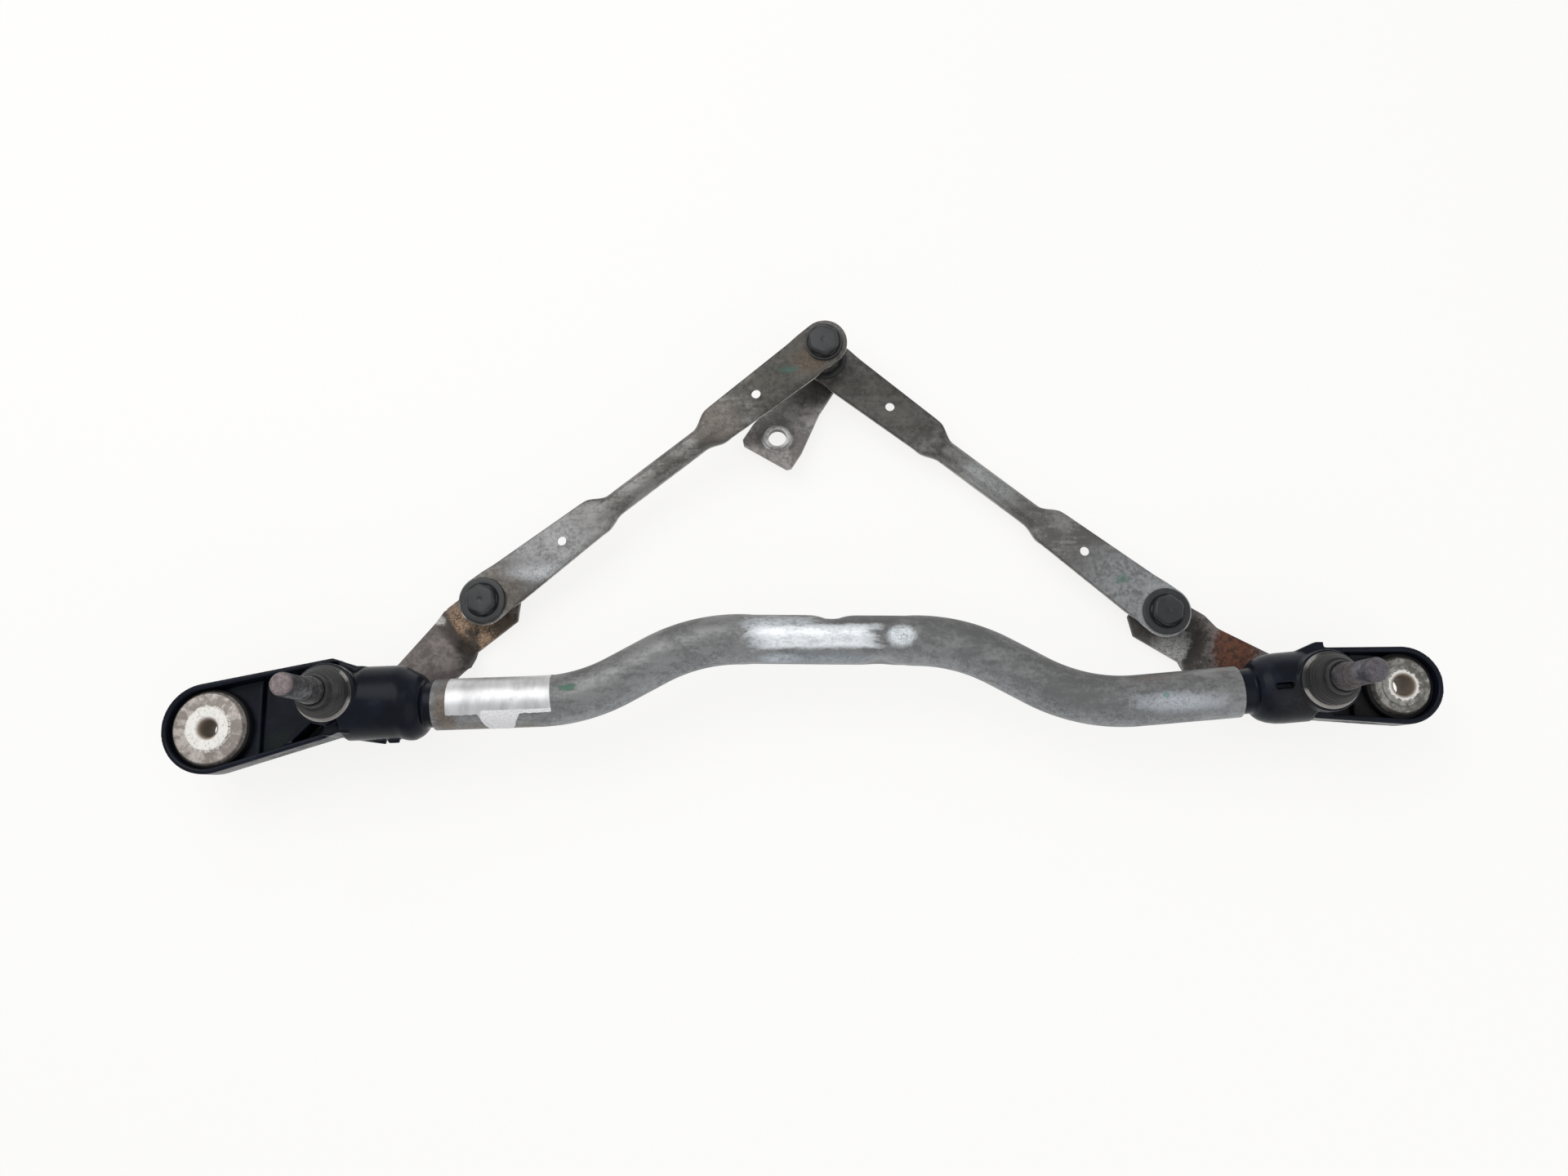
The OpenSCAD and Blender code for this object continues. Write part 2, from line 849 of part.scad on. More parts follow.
// cranked plate: hub on the spindle, arm set to one side, joggle down to the ball pad
module lever(axis, len, turn, s, arm_in) {
    knee = len - joggle_in;
    pad = knee + joggle_run;
    tip = len + lever_over;
    edge = [
        [-hub_r / 2, s * hub_r / 2],
        [0, -s * arm_in],
        [knee, -s * knee_in],
        [pad, -s * pad_in],
        [tip - lever_cham, -s * pad_in],
        [tip, s * (lever_cham - pad_in)],
        [tip, s * (pad_out - lever_cham)],
        [tip - lever_cham, s * pad_out],
        [pad, s * pad_out],
        [knee, s * knee_out],
        [knee / 2, s * elbow_out]
    ];
    color(dark_steel)
        translate([axis[0], axis[1], lever_top])
            rotate(turn)
                difference() {
                    intersection() {
                        translate([0, 0, -2 * joggle])
                            linear_extrude(3 * joggle) {
                                circle(r = hub_r);
                                polygon(s > 0 ? edge : back_to_front(edge));
                            }
                        rotate([90, 0, 0])
                            translate([0, 0, -2 * elbow_out])
                                linear_extrude(4 * elbow_out)
                                    polygon([
                                        [-2 * hub_r, 0],
                                        [knee, 0],
                                        [pad, -joggle],
                                        [tip + over, -joggle],
                                        [tip + over, -joggle - lever_t],
                                        [pad - lever_t / 2, -joggle - lever_t],
                                        [knee - lever_t / 2, -lever_t],
                                        [-2 * hub_r, -lever_t]
                                    ]);
                    }
                    translate([0, 0, -lever_t - over])
                        cylinder(r = foot_r + seat_gap, h = lever_t + 2 * over);
                    translate([len, 0, -joggle - lever_t - over])
                        cylinder(r = shank_r + seat_gap, h = lever_t + 2 * over);
                }
}

module left_lever() {
    lever(left_axis, left_lever_len, left_lever_turn, -1, left_arm_in);
}

module right_lever() {
    lever(right_axis, right_lever_len, right_lever_turn, 1, right_arm_in);
}

// riveted stud up to the ball centre, standing on its plate
module stud_foot(plate_t) {
    translate([0, 0, -plate_t])
        cylinder(r = shank_r, h = plate_t + over);
    translate([0, 0, -plate_t - stud_rivet_h])
        cylinder(r1 = stud_rivet_r - stud_rivet_h, r2 = stud_rivet_r, h = stud_rivet_h);
    cylinder(r = collar_r, h = collar_h);
    cylinder(r = neck_r, h = ball_up);
    translate([0, 0, ball_up])
        sphere(r = ball_r);
}

module left_ball_stud() {
    color(steel)
        translate([left_ball[0], left_ball[1], pad_top])
            stud_foot(lever_t);
}

module right_ball_stud() {
    color(steel)
        translate([right_ball[0], right_ball[1], pad_top])
            stud_foot(lever_t);
}

// half outline of a link from the lever end to the crank end, taken in by a margin
function link_side(m, s, ends) = [
    [ends, s * (wide_lever - m)],
    [shoulder_lever, s * (wide_shoulder - m)],
    [shoulder_lever + shoulder_run, s * (wide_mid - m)],
    [link_len - shoulder_crank - shoulder_run, s * (wide_mid - m)],
    [link_len - shoulder_crank, s * (wide_shoulder - m)],
    [link_len - ends, s * (wide_crank - m)]
];
function back_to_front(v) = [for (i = [len(v) - 1 : -1 : 0]) v[i]];
function link_outline(m, ends) = concat(link_side(m, 1, ends), back_to_front(link_side(m, -1, ends)));

// pressed strip: flat rounded ends, shoulders, deep channel in the middle, raised bead
module link(lever_hole, crank_hole) {
    top = sheet_up + sheet;
    far = link_len - wide_crank;
    color(dark_steel)
        difference() {
            union() {
                translate([0, 0, sheet_up])
                    linear_extrude(sheet) {
                        circle(r = wide_lever);
                        translate([link_len, 0])
                            circle(r = wide_crank);
                        polygon(link_outline(0, 0));
                    }
                intersection() {
                    translate([0, 0, -channel])
                        linear_extrude(channel + top)
                            difference() {
                                polygon(link_outline(0, 0));
                                polygon(link_outline(sheet, 0));
                            }
                    rotate([90, 0, 0])
                        translate([0, 0, -wide_lever])
                            linear_extrude(2 * wide_lever)
                                polygon([
                                    [wide_lever, sheet_up + sheet / 2],
                                    [wide_lever + lip, sheet_up - lip],
                                    [shoulder_lever, sheet_up - lip],
                                    [shoulder_lever + shoulder_run, sheet_up - channel],
                                    [link_len - shoulder_crank - shoulder_run, sheet_up - channel],
                                    [link_len - shoulder_crank, sheet_up - lip],
                                    [far - lip, sheet_up - lip],
                                    [far, sheet_up + sheet / 2]
                                ]);
                }
                translate([0, 0, top])
                    rotate([0, 90, 0])
                        translate([0, 0, bead_in])
                            linear_extrude(link_len - 2 * bead_in)
                                polygon([
                                    [sheet / 2, -bead_w],
                                    [0, -bead_w],
                                    [-bead_h, -bead_w + 2 * bead_h],
                                    [-bead_h, bead_w - 2 * bead_h],
                                    [0, bead_w],
                                    [sheet / 2, bead_w]
                                ]);
            }
            translate([0, 0, -channel])
                cylinder(r = lever_hole, h = 2 * channel);
            translate([link_len, 0, -channel])
                cylinder(r = crank_hole, h = 2 * channel);
            translate([tool_lever, 0, -channel])
                cylinder(r = tool_r, h = 2 * channel);
            translate([link_len - tool_crank, 0, -channel])
                cylinder(r = tool_r, h = 2 * channel);
        }
}

// moulded socket with its ball centre at the origin
module socket(flange_r) {
    flange = sheet_up + sheet;
    roof = ball_r + free_gap + socket_roof;
    color(black)
        difference() {
            union() {
                translate([0, 0, -socket_low])
                    cylinder(r = socket_r, h = socket_low + flange + over);
                translate([0, 0, flange])
                    cylinder(r = flange_r, h = socket_flange_t);
                translate([0, 0, flange])
                    cylinder(r = socket_cap_r, h = roof - flange - socket_cham);
                translate([0, 0, roof - socket_cham])
                    cylinder(r1 = socket_cap_r, r2 = socket_cap_r - socket_cham, h = socket_cham);
            }
            sphere(r = ball_r + free_gap);
            translate([0, 0, roof])
                sphere(r = dimple_r);
        }
}

// opened pivot: a plain ring with room for the lower crank ball
module loop_ring() {
    flange = sheet_up + sheet;
    color(black)
        difference() {
            union() {
                translate([0, 0, -socket_low / 2])
                    cylinder(r = ring_r, h = socket_low / 2 + flange + over);
                translate([0, 0, flange])
                    cylinder(r = wide_crank - seat_gap, h = socket_flange_t);
            }
            translate([0, 0, -socket_low])
                cylinder(r = ball_r + loop_play, h = 2 * socket_low + flange + socket_flange_t);
        }
}

module on_left_link() {
    translate([left_ball[0], left_ball[1], ball_z])
        rotate([0, -left_link_rise, left_link_turn])
            children();
}

module on_right_link() {
    translate([right_ball[0], right_ball[1], ball_z])
        rotate(right_link_turn)
            children();
}

module left_link() {
    on_left_link()
        link(socket_r + seat_gap, socket_r + seat_gap);
}

module left_link_lever_socket() {
    on_left_link()
        socket(socket_flange_r);
}

module left_link_crank_socket() {
    on_left_link()
        translate([link_len, 0, 0])
            socket(crank_flange_r);
}

module right_link() {
    on_right_link()
        link(socket_r + seat_gap, ring_r + seat_gap);
}

module right_link_lever_socket() {
    on_right_link()
        socket(socket_flange_r);
}

module right_link_crank_ring() {
    on_right_link()
        translate([link_len, 0, 0])
            loop_ring();
}

module on_crank() {
    translate([crank_ball[0], crank_ball[1], ball_z])
        rotate([-crank_lean, 0, 0])
            translate([0, 0, -ball_up])
                children();
}

module crank_arm() {
    tip = crank_len + crank_over;
    color(steel)
        on_crank()
            rotate(crank_turn)
                difference() {
                    union() {
                        translate([0, 0, -crank_t])
                            linear_extrude(crank_t) {
                                circle(r = crank_ball_w);
                                polygon([
                                    [0, -crank_ball_w],
                                    [crank_len / 2, -crank_ball_w],
                                    [crank_len, -crank_end_w],
                                    [tip - crank_cham, -crank_end_w],
                                    [tip, crank_cham - crank_end_w],
                                    [tip, crank_end_w - crank_cham],
                                    [tip - crank_cham, crank_end_w],
                                    [crank_len, crank_end_w],
                                    [crank_len / 2, crank_ball_w],
                                    [0, crank_ball_w]
                                ]);
                            }
                        translate([crank_len, 0, 0])
                            cylinder(r = crank_bore_r + nut_w, h = nut_h);
                    }
                    translate([0, 0, -crank_t - over])
                        cylinder(r = shank_r + seat_gap, h = crank_t + 2 * over);
                    translate([crank_len, 0, -crank_t - over])
                        cylinder(r = crank_bore_r, h = crank_t + nut_h + 2 * over);
                }
}

module crank_ball_stud() {
    color(steel)
        on_crank() {
            stud_foot(crank_t);
            translate([0, 0, ball_up])
                cylinder(r = neck_r, h = ball_pitch);
            translate([0, 0, ball_up + ball_pitch])
                sphere(r = ball_r);
        }
}

frame_tube();
foil_label();
left_housing();
left_grommet();
left_bush();
left_lower_bearing();
left_upper_bearing();
left_thrust_washer();
left_top_washer();
left_seal_cap();
right_housing();
right_grommet();
right_bush();
right_lower_bearing();
right_upper_bearing();
right_thrust_washer();
right_top_washer();
right_seal_cap();
left_spindle();
left_circlip();
left_lever();
left_ball_stud();
right_spindle();
right_circlip();
right_lever();
right_ball_stud();
left_link();
left_link_lever_socket();
left_link_crank_socket();
right_link();
right_link_lever_socket();
right_link_crank_ring();
crank_arm();
crank_ball_stud();
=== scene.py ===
"""Looks of a tandem wiper linkage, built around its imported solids.

Every piece stands in the part's own frame, in metres: the origin is on the left fixing bore, X runs
roughly towards the right fixing, Y to the links and Z along the spindles to their threads.
"""

import json
import logging
import math
from dataclasses import dataclass, field
from enum import Enum
from typing import Any, Callable, Dict, List, Mapping, Optional, Sequence, Tuple, Union

import bmesh
import bpy
from mathutils import Euler, Matrix, Vector, noise


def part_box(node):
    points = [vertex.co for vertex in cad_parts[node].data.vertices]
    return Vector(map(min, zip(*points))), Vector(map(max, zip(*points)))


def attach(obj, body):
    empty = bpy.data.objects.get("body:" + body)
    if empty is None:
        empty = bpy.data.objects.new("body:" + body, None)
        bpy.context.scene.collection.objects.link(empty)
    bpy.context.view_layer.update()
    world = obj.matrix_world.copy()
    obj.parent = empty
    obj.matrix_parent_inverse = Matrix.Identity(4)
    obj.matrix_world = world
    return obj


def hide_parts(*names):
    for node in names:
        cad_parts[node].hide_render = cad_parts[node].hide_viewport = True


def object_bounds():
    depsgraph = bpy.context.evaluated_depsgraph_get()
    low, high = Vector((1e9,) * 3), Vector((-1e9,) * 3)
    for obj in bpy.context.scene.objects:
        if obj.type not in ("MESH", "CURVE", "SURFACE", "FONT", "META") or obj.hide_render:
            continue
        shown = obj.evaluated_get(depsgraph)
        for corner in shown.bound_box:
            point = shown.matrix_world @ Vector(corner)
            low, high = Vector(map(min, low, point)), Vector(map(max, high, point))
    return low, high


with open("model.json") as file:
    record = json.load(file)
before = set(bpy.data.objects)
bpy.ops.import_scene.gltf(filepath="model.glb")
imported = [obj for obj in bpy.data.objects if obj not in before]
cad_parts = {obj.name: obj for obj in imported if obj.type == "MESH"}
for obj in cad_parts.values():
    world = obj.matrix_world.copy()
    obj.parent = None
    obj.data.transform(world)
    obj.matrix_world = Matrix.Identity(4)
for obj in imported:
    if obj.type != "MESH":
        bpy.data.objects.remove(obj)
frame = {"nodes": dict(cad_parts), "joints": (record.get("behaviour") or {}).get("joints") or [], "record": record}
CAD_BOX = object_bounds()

LOG = logging.getLogger("wiper_linkage")
MM = 0.001
UP = Vector((0.0, 0.0, 1.0))

RGB = Tuple[float, float, float]
Point2 = Tuple[float, float]
Warp = Callable[[float, float, float], Point2]

RECORD: Dict[str, Any] = frame["record"]
BODY_OF: Dict[str, str] = {
    node: body for body, nodes in RECORD["behaviour"]["bodies"].items() for node in nodes
}
SLOT_OF: Dict[str, str] = {row["node"]: row["material_slot"] for row in RECORD["subparts"]}
JOINT: Dict[str, Dict[str, Any]] = {joint["name"]: joint for joint in frame["joints"]}


class Side(Enum):
    """The two ends of the frame tube."""

    LEFT = "left"
    RIGHT = "right"


# Shader expressions


class Sock:
    """An output socket that takes part in shader expressions."""

    def __init__(self, graph: "Graph", socket: bpy.types.NodeSocket) -> None:
        """Keeps the socket and the graph that it belongs to.

        Args:
            graph: Graph that new nodes are added to.
            socket: Output socket to wrap.
        """
        self.graph = graph
        self.socket = socket

    def _math(self, operation: str, first: "Value", second: "Value") -> "Sock":
        """Adds one Math node.

        Args:
            operation: Name of the Math operation.
            first: First value.
            second: Second value.

        Returns:
            The node's result.
        """
        return self.graph.node("ShaderNodeMath", {"operation": operation}, {0: first, 1: second})

    def __add__(self, other: "Value") -> "Sock":
        """Sum."""
        return self._math("ADD", self, other)

    def __radd__(self, other: "Value") -> "Sock":
        """Sum with the number on the left."""
        return self._math("ADD", other, self)

    def __sub__(self, other: "Value") -> "Sock":
        """Difference."""
        return self._math("SUBTRACT", self, other)

    def __rsub__(self, other: "Value") -> "Sock":
        """Difference from a number."""
        return self._math("SUBTRACT", other, self)

    def __mul__(self, other: "Value") -> "Sock":
        """Product."""
        return self._math("MULTIPLY", self, other)

    def __rmul__(self, other: "Value") -> "Sock":
        """Product with the number on the left."""
        return self._math("MULTIPLY", other, self)

    def __truediv__(self, other: "Value") -> "Sock":
        """Quotient."""
        return self._math("DIVIDE", self, other)

    def at_most(self, other: "Value") -> "Sock":
        """Smaller of two values."""
        return self._math("MINIMUM", self, other)

    def at_least(self, other: "Value") -> "Sock":
        """Larger of two values."""
        return self._math("MAXIMUM", self, other)

    def step(self, low: float, high: float) -> "Sock":
        """Smooth step from 0 at low to 1 at high.

        Args:
            low: Value that gives 0.
            high: Value that gives 1, which may be below low.

        Returns:
            The stepped value.
        """
        settings = {"interpolation_type": "SMOOTHSTEP"}
        return self.graph.node("ShaderNodeMapRange", settings, {0: self, 1: low, 2: high})


Value = Union[Sock, float]
Colour = Union[Sock, RGB]


class Graph:
    """Node tree of one material, world or geometry recipe."""

    def __init__(self, tree: bpy.types.NodeTree) -> None:
        """Empties the tree.

        Args:
            tree: Node tree to build in.
        """
        self.tree = tree
        self.tree.nodes.clear()
        self._place: Optional[Sock] = None

    def node(
        self,
        kind: str,
        settings: Optional[Mapping[str, Any]] = None,
        inputs: Optional[Mapping[Union[str, int], Any]] = None,
        out: Union[str, int] = 0,
    ) -> Sock:
        """Adds a node, sets it up and links it.

        Args:
            kind: Blender's node type.
            settings: Properties of the node, set before its sockets.
            inputs: Values or links of its sockets, by name or number. A list links them all.
            out: Output to return, by name or number.

        Returns:
            The chosen output.
        """
        made = self.tree.nodes.new(kind)
        for key, value in (settings or {}).items():
            setattr(made, key, value)
        for key, value in (inputs or {}).items():
            socket = made.inputs[key]
            sources = value if isinstance(value, list) else [value]
            if isinstance(sources[0], Sock):
                for source in sources:
                    self.tree.links.new(source.socket, socket)
            elif isinstance(value, tuple) and socket.type == "RGBA":
                socket.default_value = (*value, 1.0)
            else:
                socket.default_value = value
        return Sock(self, made.outputs[out]) if made.outputs else Sock(self, None)

    def place(self) -> Sock:
        """Object coordinates, in the part's frame."""
        if self._place is None:
            self._place = self.node("ShaderNodeTexCoord", out="Object")
        return self._place

    def noise(self, scale: float, detail: float, rough: float, at: Optional[Sock] = None) -> Sock:
        """Fractal noise around 0.5.

        Args:
            scale: Waves per metre.
            detail: Octaves.
            rough: Share of the finer octaves.
            at: Coordinates, or none for the part's own.

        Returns:
            The noise value.
        """
        inputs = {"Vector": at or self.place(), "Scale": scale, "Detail": detail, "Roughness": rough}
        return self.node("ShaderNodeTexNoise", {}, inputs)

    def stretched(self, scale: RGB, turn: float = 0.0) -> Sock:
        """Object coordinates stretched along the axes.

        Args:
            scale: Factor along each axis.
            turn: Turn about Z in radians.

        Returns:
            The stretched coordinates.
        """
        inputs = {"Vector": self.place(), "Rotation": (0.0, 0.0, turn), "Scale": scale}
        return self.node("ShaderNodeMapping", {}, inputs)

    def mix(self, share: Value, first: Colour, second: Colour) -> Sock:
        """Mixes two colours.

        Args:
            share: Share of the second colour.
            first: First colour.
            second: Second colour.

        Returns:
            The mixed colour.
        """
        return self.node("ShaderNodeMix", {"data_type": "RGBA"}, {0: share, 6: first, 7: second}, 2)

    def blob(self, at: RGB, size: RGB, boxed: bool = False) -> Sock:
        """Distance from a point, measured in half sizes of an ellipsoid or a box.

        Args:
            at: Centre in metres.
            size: Half sizes in metres.
            boxed: Measures to the faces of a box.

        Returns:
            1 on the ellipsoid or box, less inside.
        """
        away = self.node("ShaderNodeVectorMath", {"operation": "SUBTRACT"}, {0: self.place(), 1: at})
        scaled = self.node("ShaderNodeVectorMath", {"operation": "DIVIDE"}, {0: away, 1: size})
        if not boxed:
            return self.node("ShaderNodeVectorMath", {"operation": "LENGTH"}, {0: scaled}, "Value")
        spans = self.node("ShaderNodeVectorMath", {"operation": "ABSOLUTE"}, {0: scaled})
        x, y, z = (self.node("ShaderNodeSeparateXYZ", {}, {0: spans}, axis) for axis in "XYZ")
        return x.at_least(y).at_least(z)

    def axis_distance(self, at: Point2) -> Sock:
        """Distance from an upright axis.

        Args:
            at: X and Y of the axis in metres.

        Returns:
            The distance in metres.
        """
        flat = self.node(
            "ShaderNodeVectorMath", {"operation": "MULTIPLY"}, {0: self.place(), 1: (1.0, 1.0, 0.0)}
        )
        return self.node(
            "ShaderNodeVectorMath", {"operation": "DISTANCE"}, {0: flat, 1: (*at, 0.0)}, "Value"
        )


@dataclass
class Surface:
    """What a finish says about a surface."""

    colour: Colour
    rough: Value
    metal: Value = 0.0
    height: Optional[Sock] = None
    bump: float = 0.2
    depth: float = 0.2 * MM
    shine: float = 0.5


@dataclass(frozen=True)
class Finish:
    """Base of all finishes."""

    name: str

    def surface(self, g: Graph) -> Surface:
        """Describes the surface.

        Args:
            g: Graph of the material.

        Returns:
            The surface.
        """
        raise NotImplementedError

    def material(self) -> bpy.types.Material:
        """Makes the material, once for each name.

        Returns:
            The material.
        """
        title = f"{self.name}_finish"
        found = bpy.data.materials.get(title)
        if found:
            return found
        made = bpy.data.materials.new(title)
        made.use_nodes = True
        g = Graph(made.node_tree)
        look = self.surface(g)
        inputs: Dict[Union[str, int], Any] = {
            "Base Color": look.colour,
            "Roughness": look.rough,
            "Metallic": look.metal,
            "Specular IOR Level": look.shine,
        }
        if look.height is not None:
            inputs["Normal"] = g.node(
                "ShaderNodeBump", {}, {"Strength": look.bump, "Distance": look.depth, "Height": look.height}
            )
        shader = g.node("ShaderNodeBsdfPrincipled", {}, inputs)
        g.node("ShaderNodeOutputMaterial", {}, {"Surface": shader})
        return made


@dataclass(frozen=True)
class Patch:
    """A local mark on a piece: rust, a rubbed place, a dab of paint, a painted highlight or a painted shadow."""

    at: RGB
    size: RGB
    colour: RGB
    strength: float = 1.0
    rough: float = 0.6
    metal: float = 0.0
    ragged: float = 1.4
    grain: float = 420.0
    soft: float = 0.5
    mottle: float = 0.55
    stretch: RGB = (1.0, 1.0, 1.0)
    boxed: bool = False

    def lay(self, g: Graph, colour: Sock, rough: Sock, metal: Value) -> Tuple[Sock, Sock, Value]:
        """Lays the mark over what lies below it.

        Args:
            g: Graph of the material.
            colour: Colour below.
            rough: Roughness below.
            metal: Metallic share below.

        Returns:
            Colour, roughness and metallic share with the mark.
        """
        at = g.stretched(self.stretch)
        wild = g.noise(self.grain, 7.0, 0.66, at)
        fleck = g.noise(3.7 * self.grain, 5.0, 0.7, at)
        edge = g.blob(self.at, self.size, self.boxed) + (wild - 0.5) * self.ragged
        edge = edge + (fleck - 0.5) * (0.6 * self.ragged)
        mask = edge.step(1.0 + 0.4 * self.soft, 1.0 - 0.6 * self.soft) * self.strength
        deep = tuple((1.0 - self.mottle) * c for c in self.colour)
        light = tuple(min(1.0, (1.0 + 0.45 * self.mottle) * c) for c in self.colour)
        colour = g.mix(mask, colour, g.mix((0.6 * fleck + 0.4 * wild).step(0.38, 0.6), deep, light))
        rough = rough + mask * (self.rough - rough)
        return colour, rough, metal + mask * (self.metal - metal)


@dataclass(frozen=True)
class Metal(Finish):
    """Plated or bare steel with stains, rust, pale corrosion, and painted shade and highlights along rims and in
    some marks.
    """

    base: RGB = (0.2, 0.2, 0.2)
    dark: RGB = (0.1, 0.1, 0.1)
    rust: RGB = (0.16, 0.07, 0.03)
    bloom: RGB = (0.5, 0.49, 0.46)
    rust_share: float = 0.1
    bloom_share: float = 0.1
    rough: float = 0.45
    metal: float = 0.8
    stain: float = 38.0
    streak: RGB = (1.0, 1.0, 1.0)
    streak_turn: float = 0.0
    bump: float = 0.25
    rim: float = 0.0
    rim_colour: RGB = (0.62, 0.6, 0.57)
    flank: float = 0.0
    fleck: float = 0.5
    streak_scale: float = 260.0
    speck_scale: float = 1500.0
    fleck_scale: float = 560.0
    rust_scale: float = 120.0
    pit_scale: float = 330.0
    bump_depth: float = 0.18 * MM
    least_rough: float = 0.16
    patches: Tuple[Patch, ...] = ()

    def surface(self, g: Graph) -> Surface:
        """Lays stains, rust, corrosion and marks over the plating, and paints shade and highlights along rims.

        Args:
            g: Graph of the material.

        Returns:
            The surface.
        """
        stain = g.noise(self.stain, 7.0, 0.62)
        streak = g.noise(self.streak_scale, 5.0, 0.6, g.stretched(self.streak, self.streak_turn))
        speck = g.noise(self.speck_scale, 3.0, 0.6)
        fleck = g.noise(self.fleck_scale, 6.0, 0.72)
        tone = stain.step(0.38, 0.62) * 0.75 + streak.step(0.38, 0.64) * 0.5
        tone = tone + fleck.step(0.36, 0.64) * self.fleck - 0.25
        colour = g.mix(tone.step(0.0, 1.0), self.base, self.dark)
        rough: Sock = self.rough + stain * 0.22 - 0.1 + streak * 0.14 - 0.07
        ragged = g.noise(self.rust_scale, 9.0, 0.68)
        rust = ragged.step(0.78 - self.rust_share, 0.92 - self.rust_share)
        colour = g.mix(rust * 0.85, colour, g.mix(speck, self.rust, tuple(0.45 * c for c in self.rust)))
        pits = g.noise(self.pit_scale, 8.0, 0.7)
        bloom = pits.step(0.74 - self.bloom_share, 0.86 - self.bloom_share) * stain.step(0.4, 0.6)
        colour = g.mix(bloom * 0.75, colour, self.bloom)
        metal: Sock = self.metal - rust * 0.6 - bloom * 0.45
        rough = rough + rust * 0.3 + bloom * 0.2
        if self.flank:
            turned = g.node("ShaderNodeAttribute", {"attribute_name": "flank"}, out="Fac")
            frost = turned.step(0.25, 0.85) * (0.5 * pits + 0.5 * speck).step(0.38, 0.62) * self.flank
            colour = g.mix(frost, colour, self.bloom)
        for patch in self.patches:
            colour, rough, metal = patch.lay(g, colour, rough, metal)
        if self.rim:
            worn = g.node("ShaderNodeAttribute", {"attribute_name": "rim"}, out="Fac")
            # Painted shade in the crease inside the rim, and along the rim a worn edge painted brighter as a
            # highlight
            crease = worn.step(0.66, 0.74) * (1.0 - worn.step(0.84, 0.92)) * stain.step(0.36, 0.56)
            colour = g.mix(crease * 0.5, colour, tuple(0.3 * c for c in self.base))
            bright = worn.step(0.93, 0.99) * pits.step(0.3, 0.55) * self.rim
            colour = g.mix(bright, colour, self.rim_colour)
        height = speck * 0.35 + pits * 0.8 - rust * 0.5 + bloom * 0.6 + streak * 0.3
        rough = rough.at_least(self.least_rough)
        return Surface(colour, rough, metal.at_least(0.0), height, self.bump, self.bump_depth)


@dataclass(frozen=True)
class Moulding(Finish):
    """Filled plastic or rubber with dust, scuffs and a fine grain."""

    base: RGB = (0.012, 0.014, 0.018)
    dust: RGB = (0.12, 0.115, 0.11)
    dust_share: float = 0.12
    rough: float = 0.42
    grain: float = 2200.0
    bump: float = 0.12
    shine: float = 0.5
    cloud_scale: float = 55.0
    scuff_scale: float = 380.0
    scuff_stretch: RGB = (1.0, 3.4, 1.0)
    scuff_turn: float = 0.6
    bump_depth: float = 0.15 * MM
    least_rough: float = 0.2
    patches: Tuple[Patch, ...] = ()

    def surface(self, g: Graph) -> Surface:
        """Lays dust and scuffs over the moulded skin.

        Args:
            g: Graph of the material.

        Returns:
            The surface.
        """
        cloud = g.noise(self.cloud_scale, 6.0, 0.6)
        grain = g.noise(self.grain, 3.0, 0.6)
        scuff = g.noise(self.scuff_scale, 7.0, 0.7, g.stretched(self.scuff_stretch, self.scuff_turn))
        lighter = tuple(2.1 * c for c in self.base)
        colour = g.mix(cloud.step(0.35, 0.7), self.base, lighter)
        dust = cloud.step(0.62 - self.dust_share, 0.84 - self.dust_share) * grain.step(0.3, 0.6)
        colour = g.mix(dust * 0.4, colour, self.dust)
        marks = scuff.step(0.66, 0.76)
        colour = g.mix(marks * 0.3, colour, self.dust)
        rough: Sock = self.rough + (cloud - 0.5) * 0.28 + dust * 0.25 + marks * 0.12
        for patch in self.patches:
            colour, rough, _ = patch.lay(g, colour, rough, 0.0)
        height = grain * 0.6 + scuff * 0.5 + cloud * 0.4
        rough = rough.at_least(self.least_rough)
        return Surface(colour, rough, 0.0, height, self.bump, self.bump_depth, self.shine)


@dataclass(frozen=True)
class SeatedBush(Metal):
    """Zinc-plated bush with a seat ring rubbed bright by its nut."""

    axis: Point2 = (0.0, 0.0)
    bore: float = 5.0 * MM
    bright_to: float = 10.0 * MM
    bright: RGB = (0.96, 0.93, 0.88)
    worn: RGB = (0.62, 0.57, 0.5)
    inside: RGB = (0.2, 0.15, 0.11)
    chip_scale: float = 700.0
    chip_reach: float = 7.5 * MM
    seat_bump: float = 0.45
    seat_depth: float = 0.3 * MM

    def surface(self, g: Graph) -> Surface:
        """Adds the bright ring and the brown bore to the plating.

        Args:
            g: Graph of the material.

        Returns:
            The surface.
        """
        look = super().surface(g)
        away = g.axis_distance(self.axis)
        chips = g.noise(self.chip_scale, 8.0, 0.7)
        edge = away + (chips - 0.5) * self.chip_reach
        ring = edge.step(self.bright_to, self.bright_to - 0.7 * MM)
        hole = away.step(self.bore + 2.2 * MM, self.bore + 0.4 * MM)
        seat = g.mix(chips.step(0.3, 0.52), self.worn, self.bright)
        colour = g.mix(ring * 0.9, look.colour, seat)
        colour = g.mix(hole, colour, self.inside)
        rough = look.rough + ring * 0.12
        metal = look.metal - ring * 0.5 - hole * 0.2
        height = look.height + chips * ring * 1.6
        return Surface(colour, rough, metal.at_least(0.0), height, self.seat_bump, self.seat_depth)


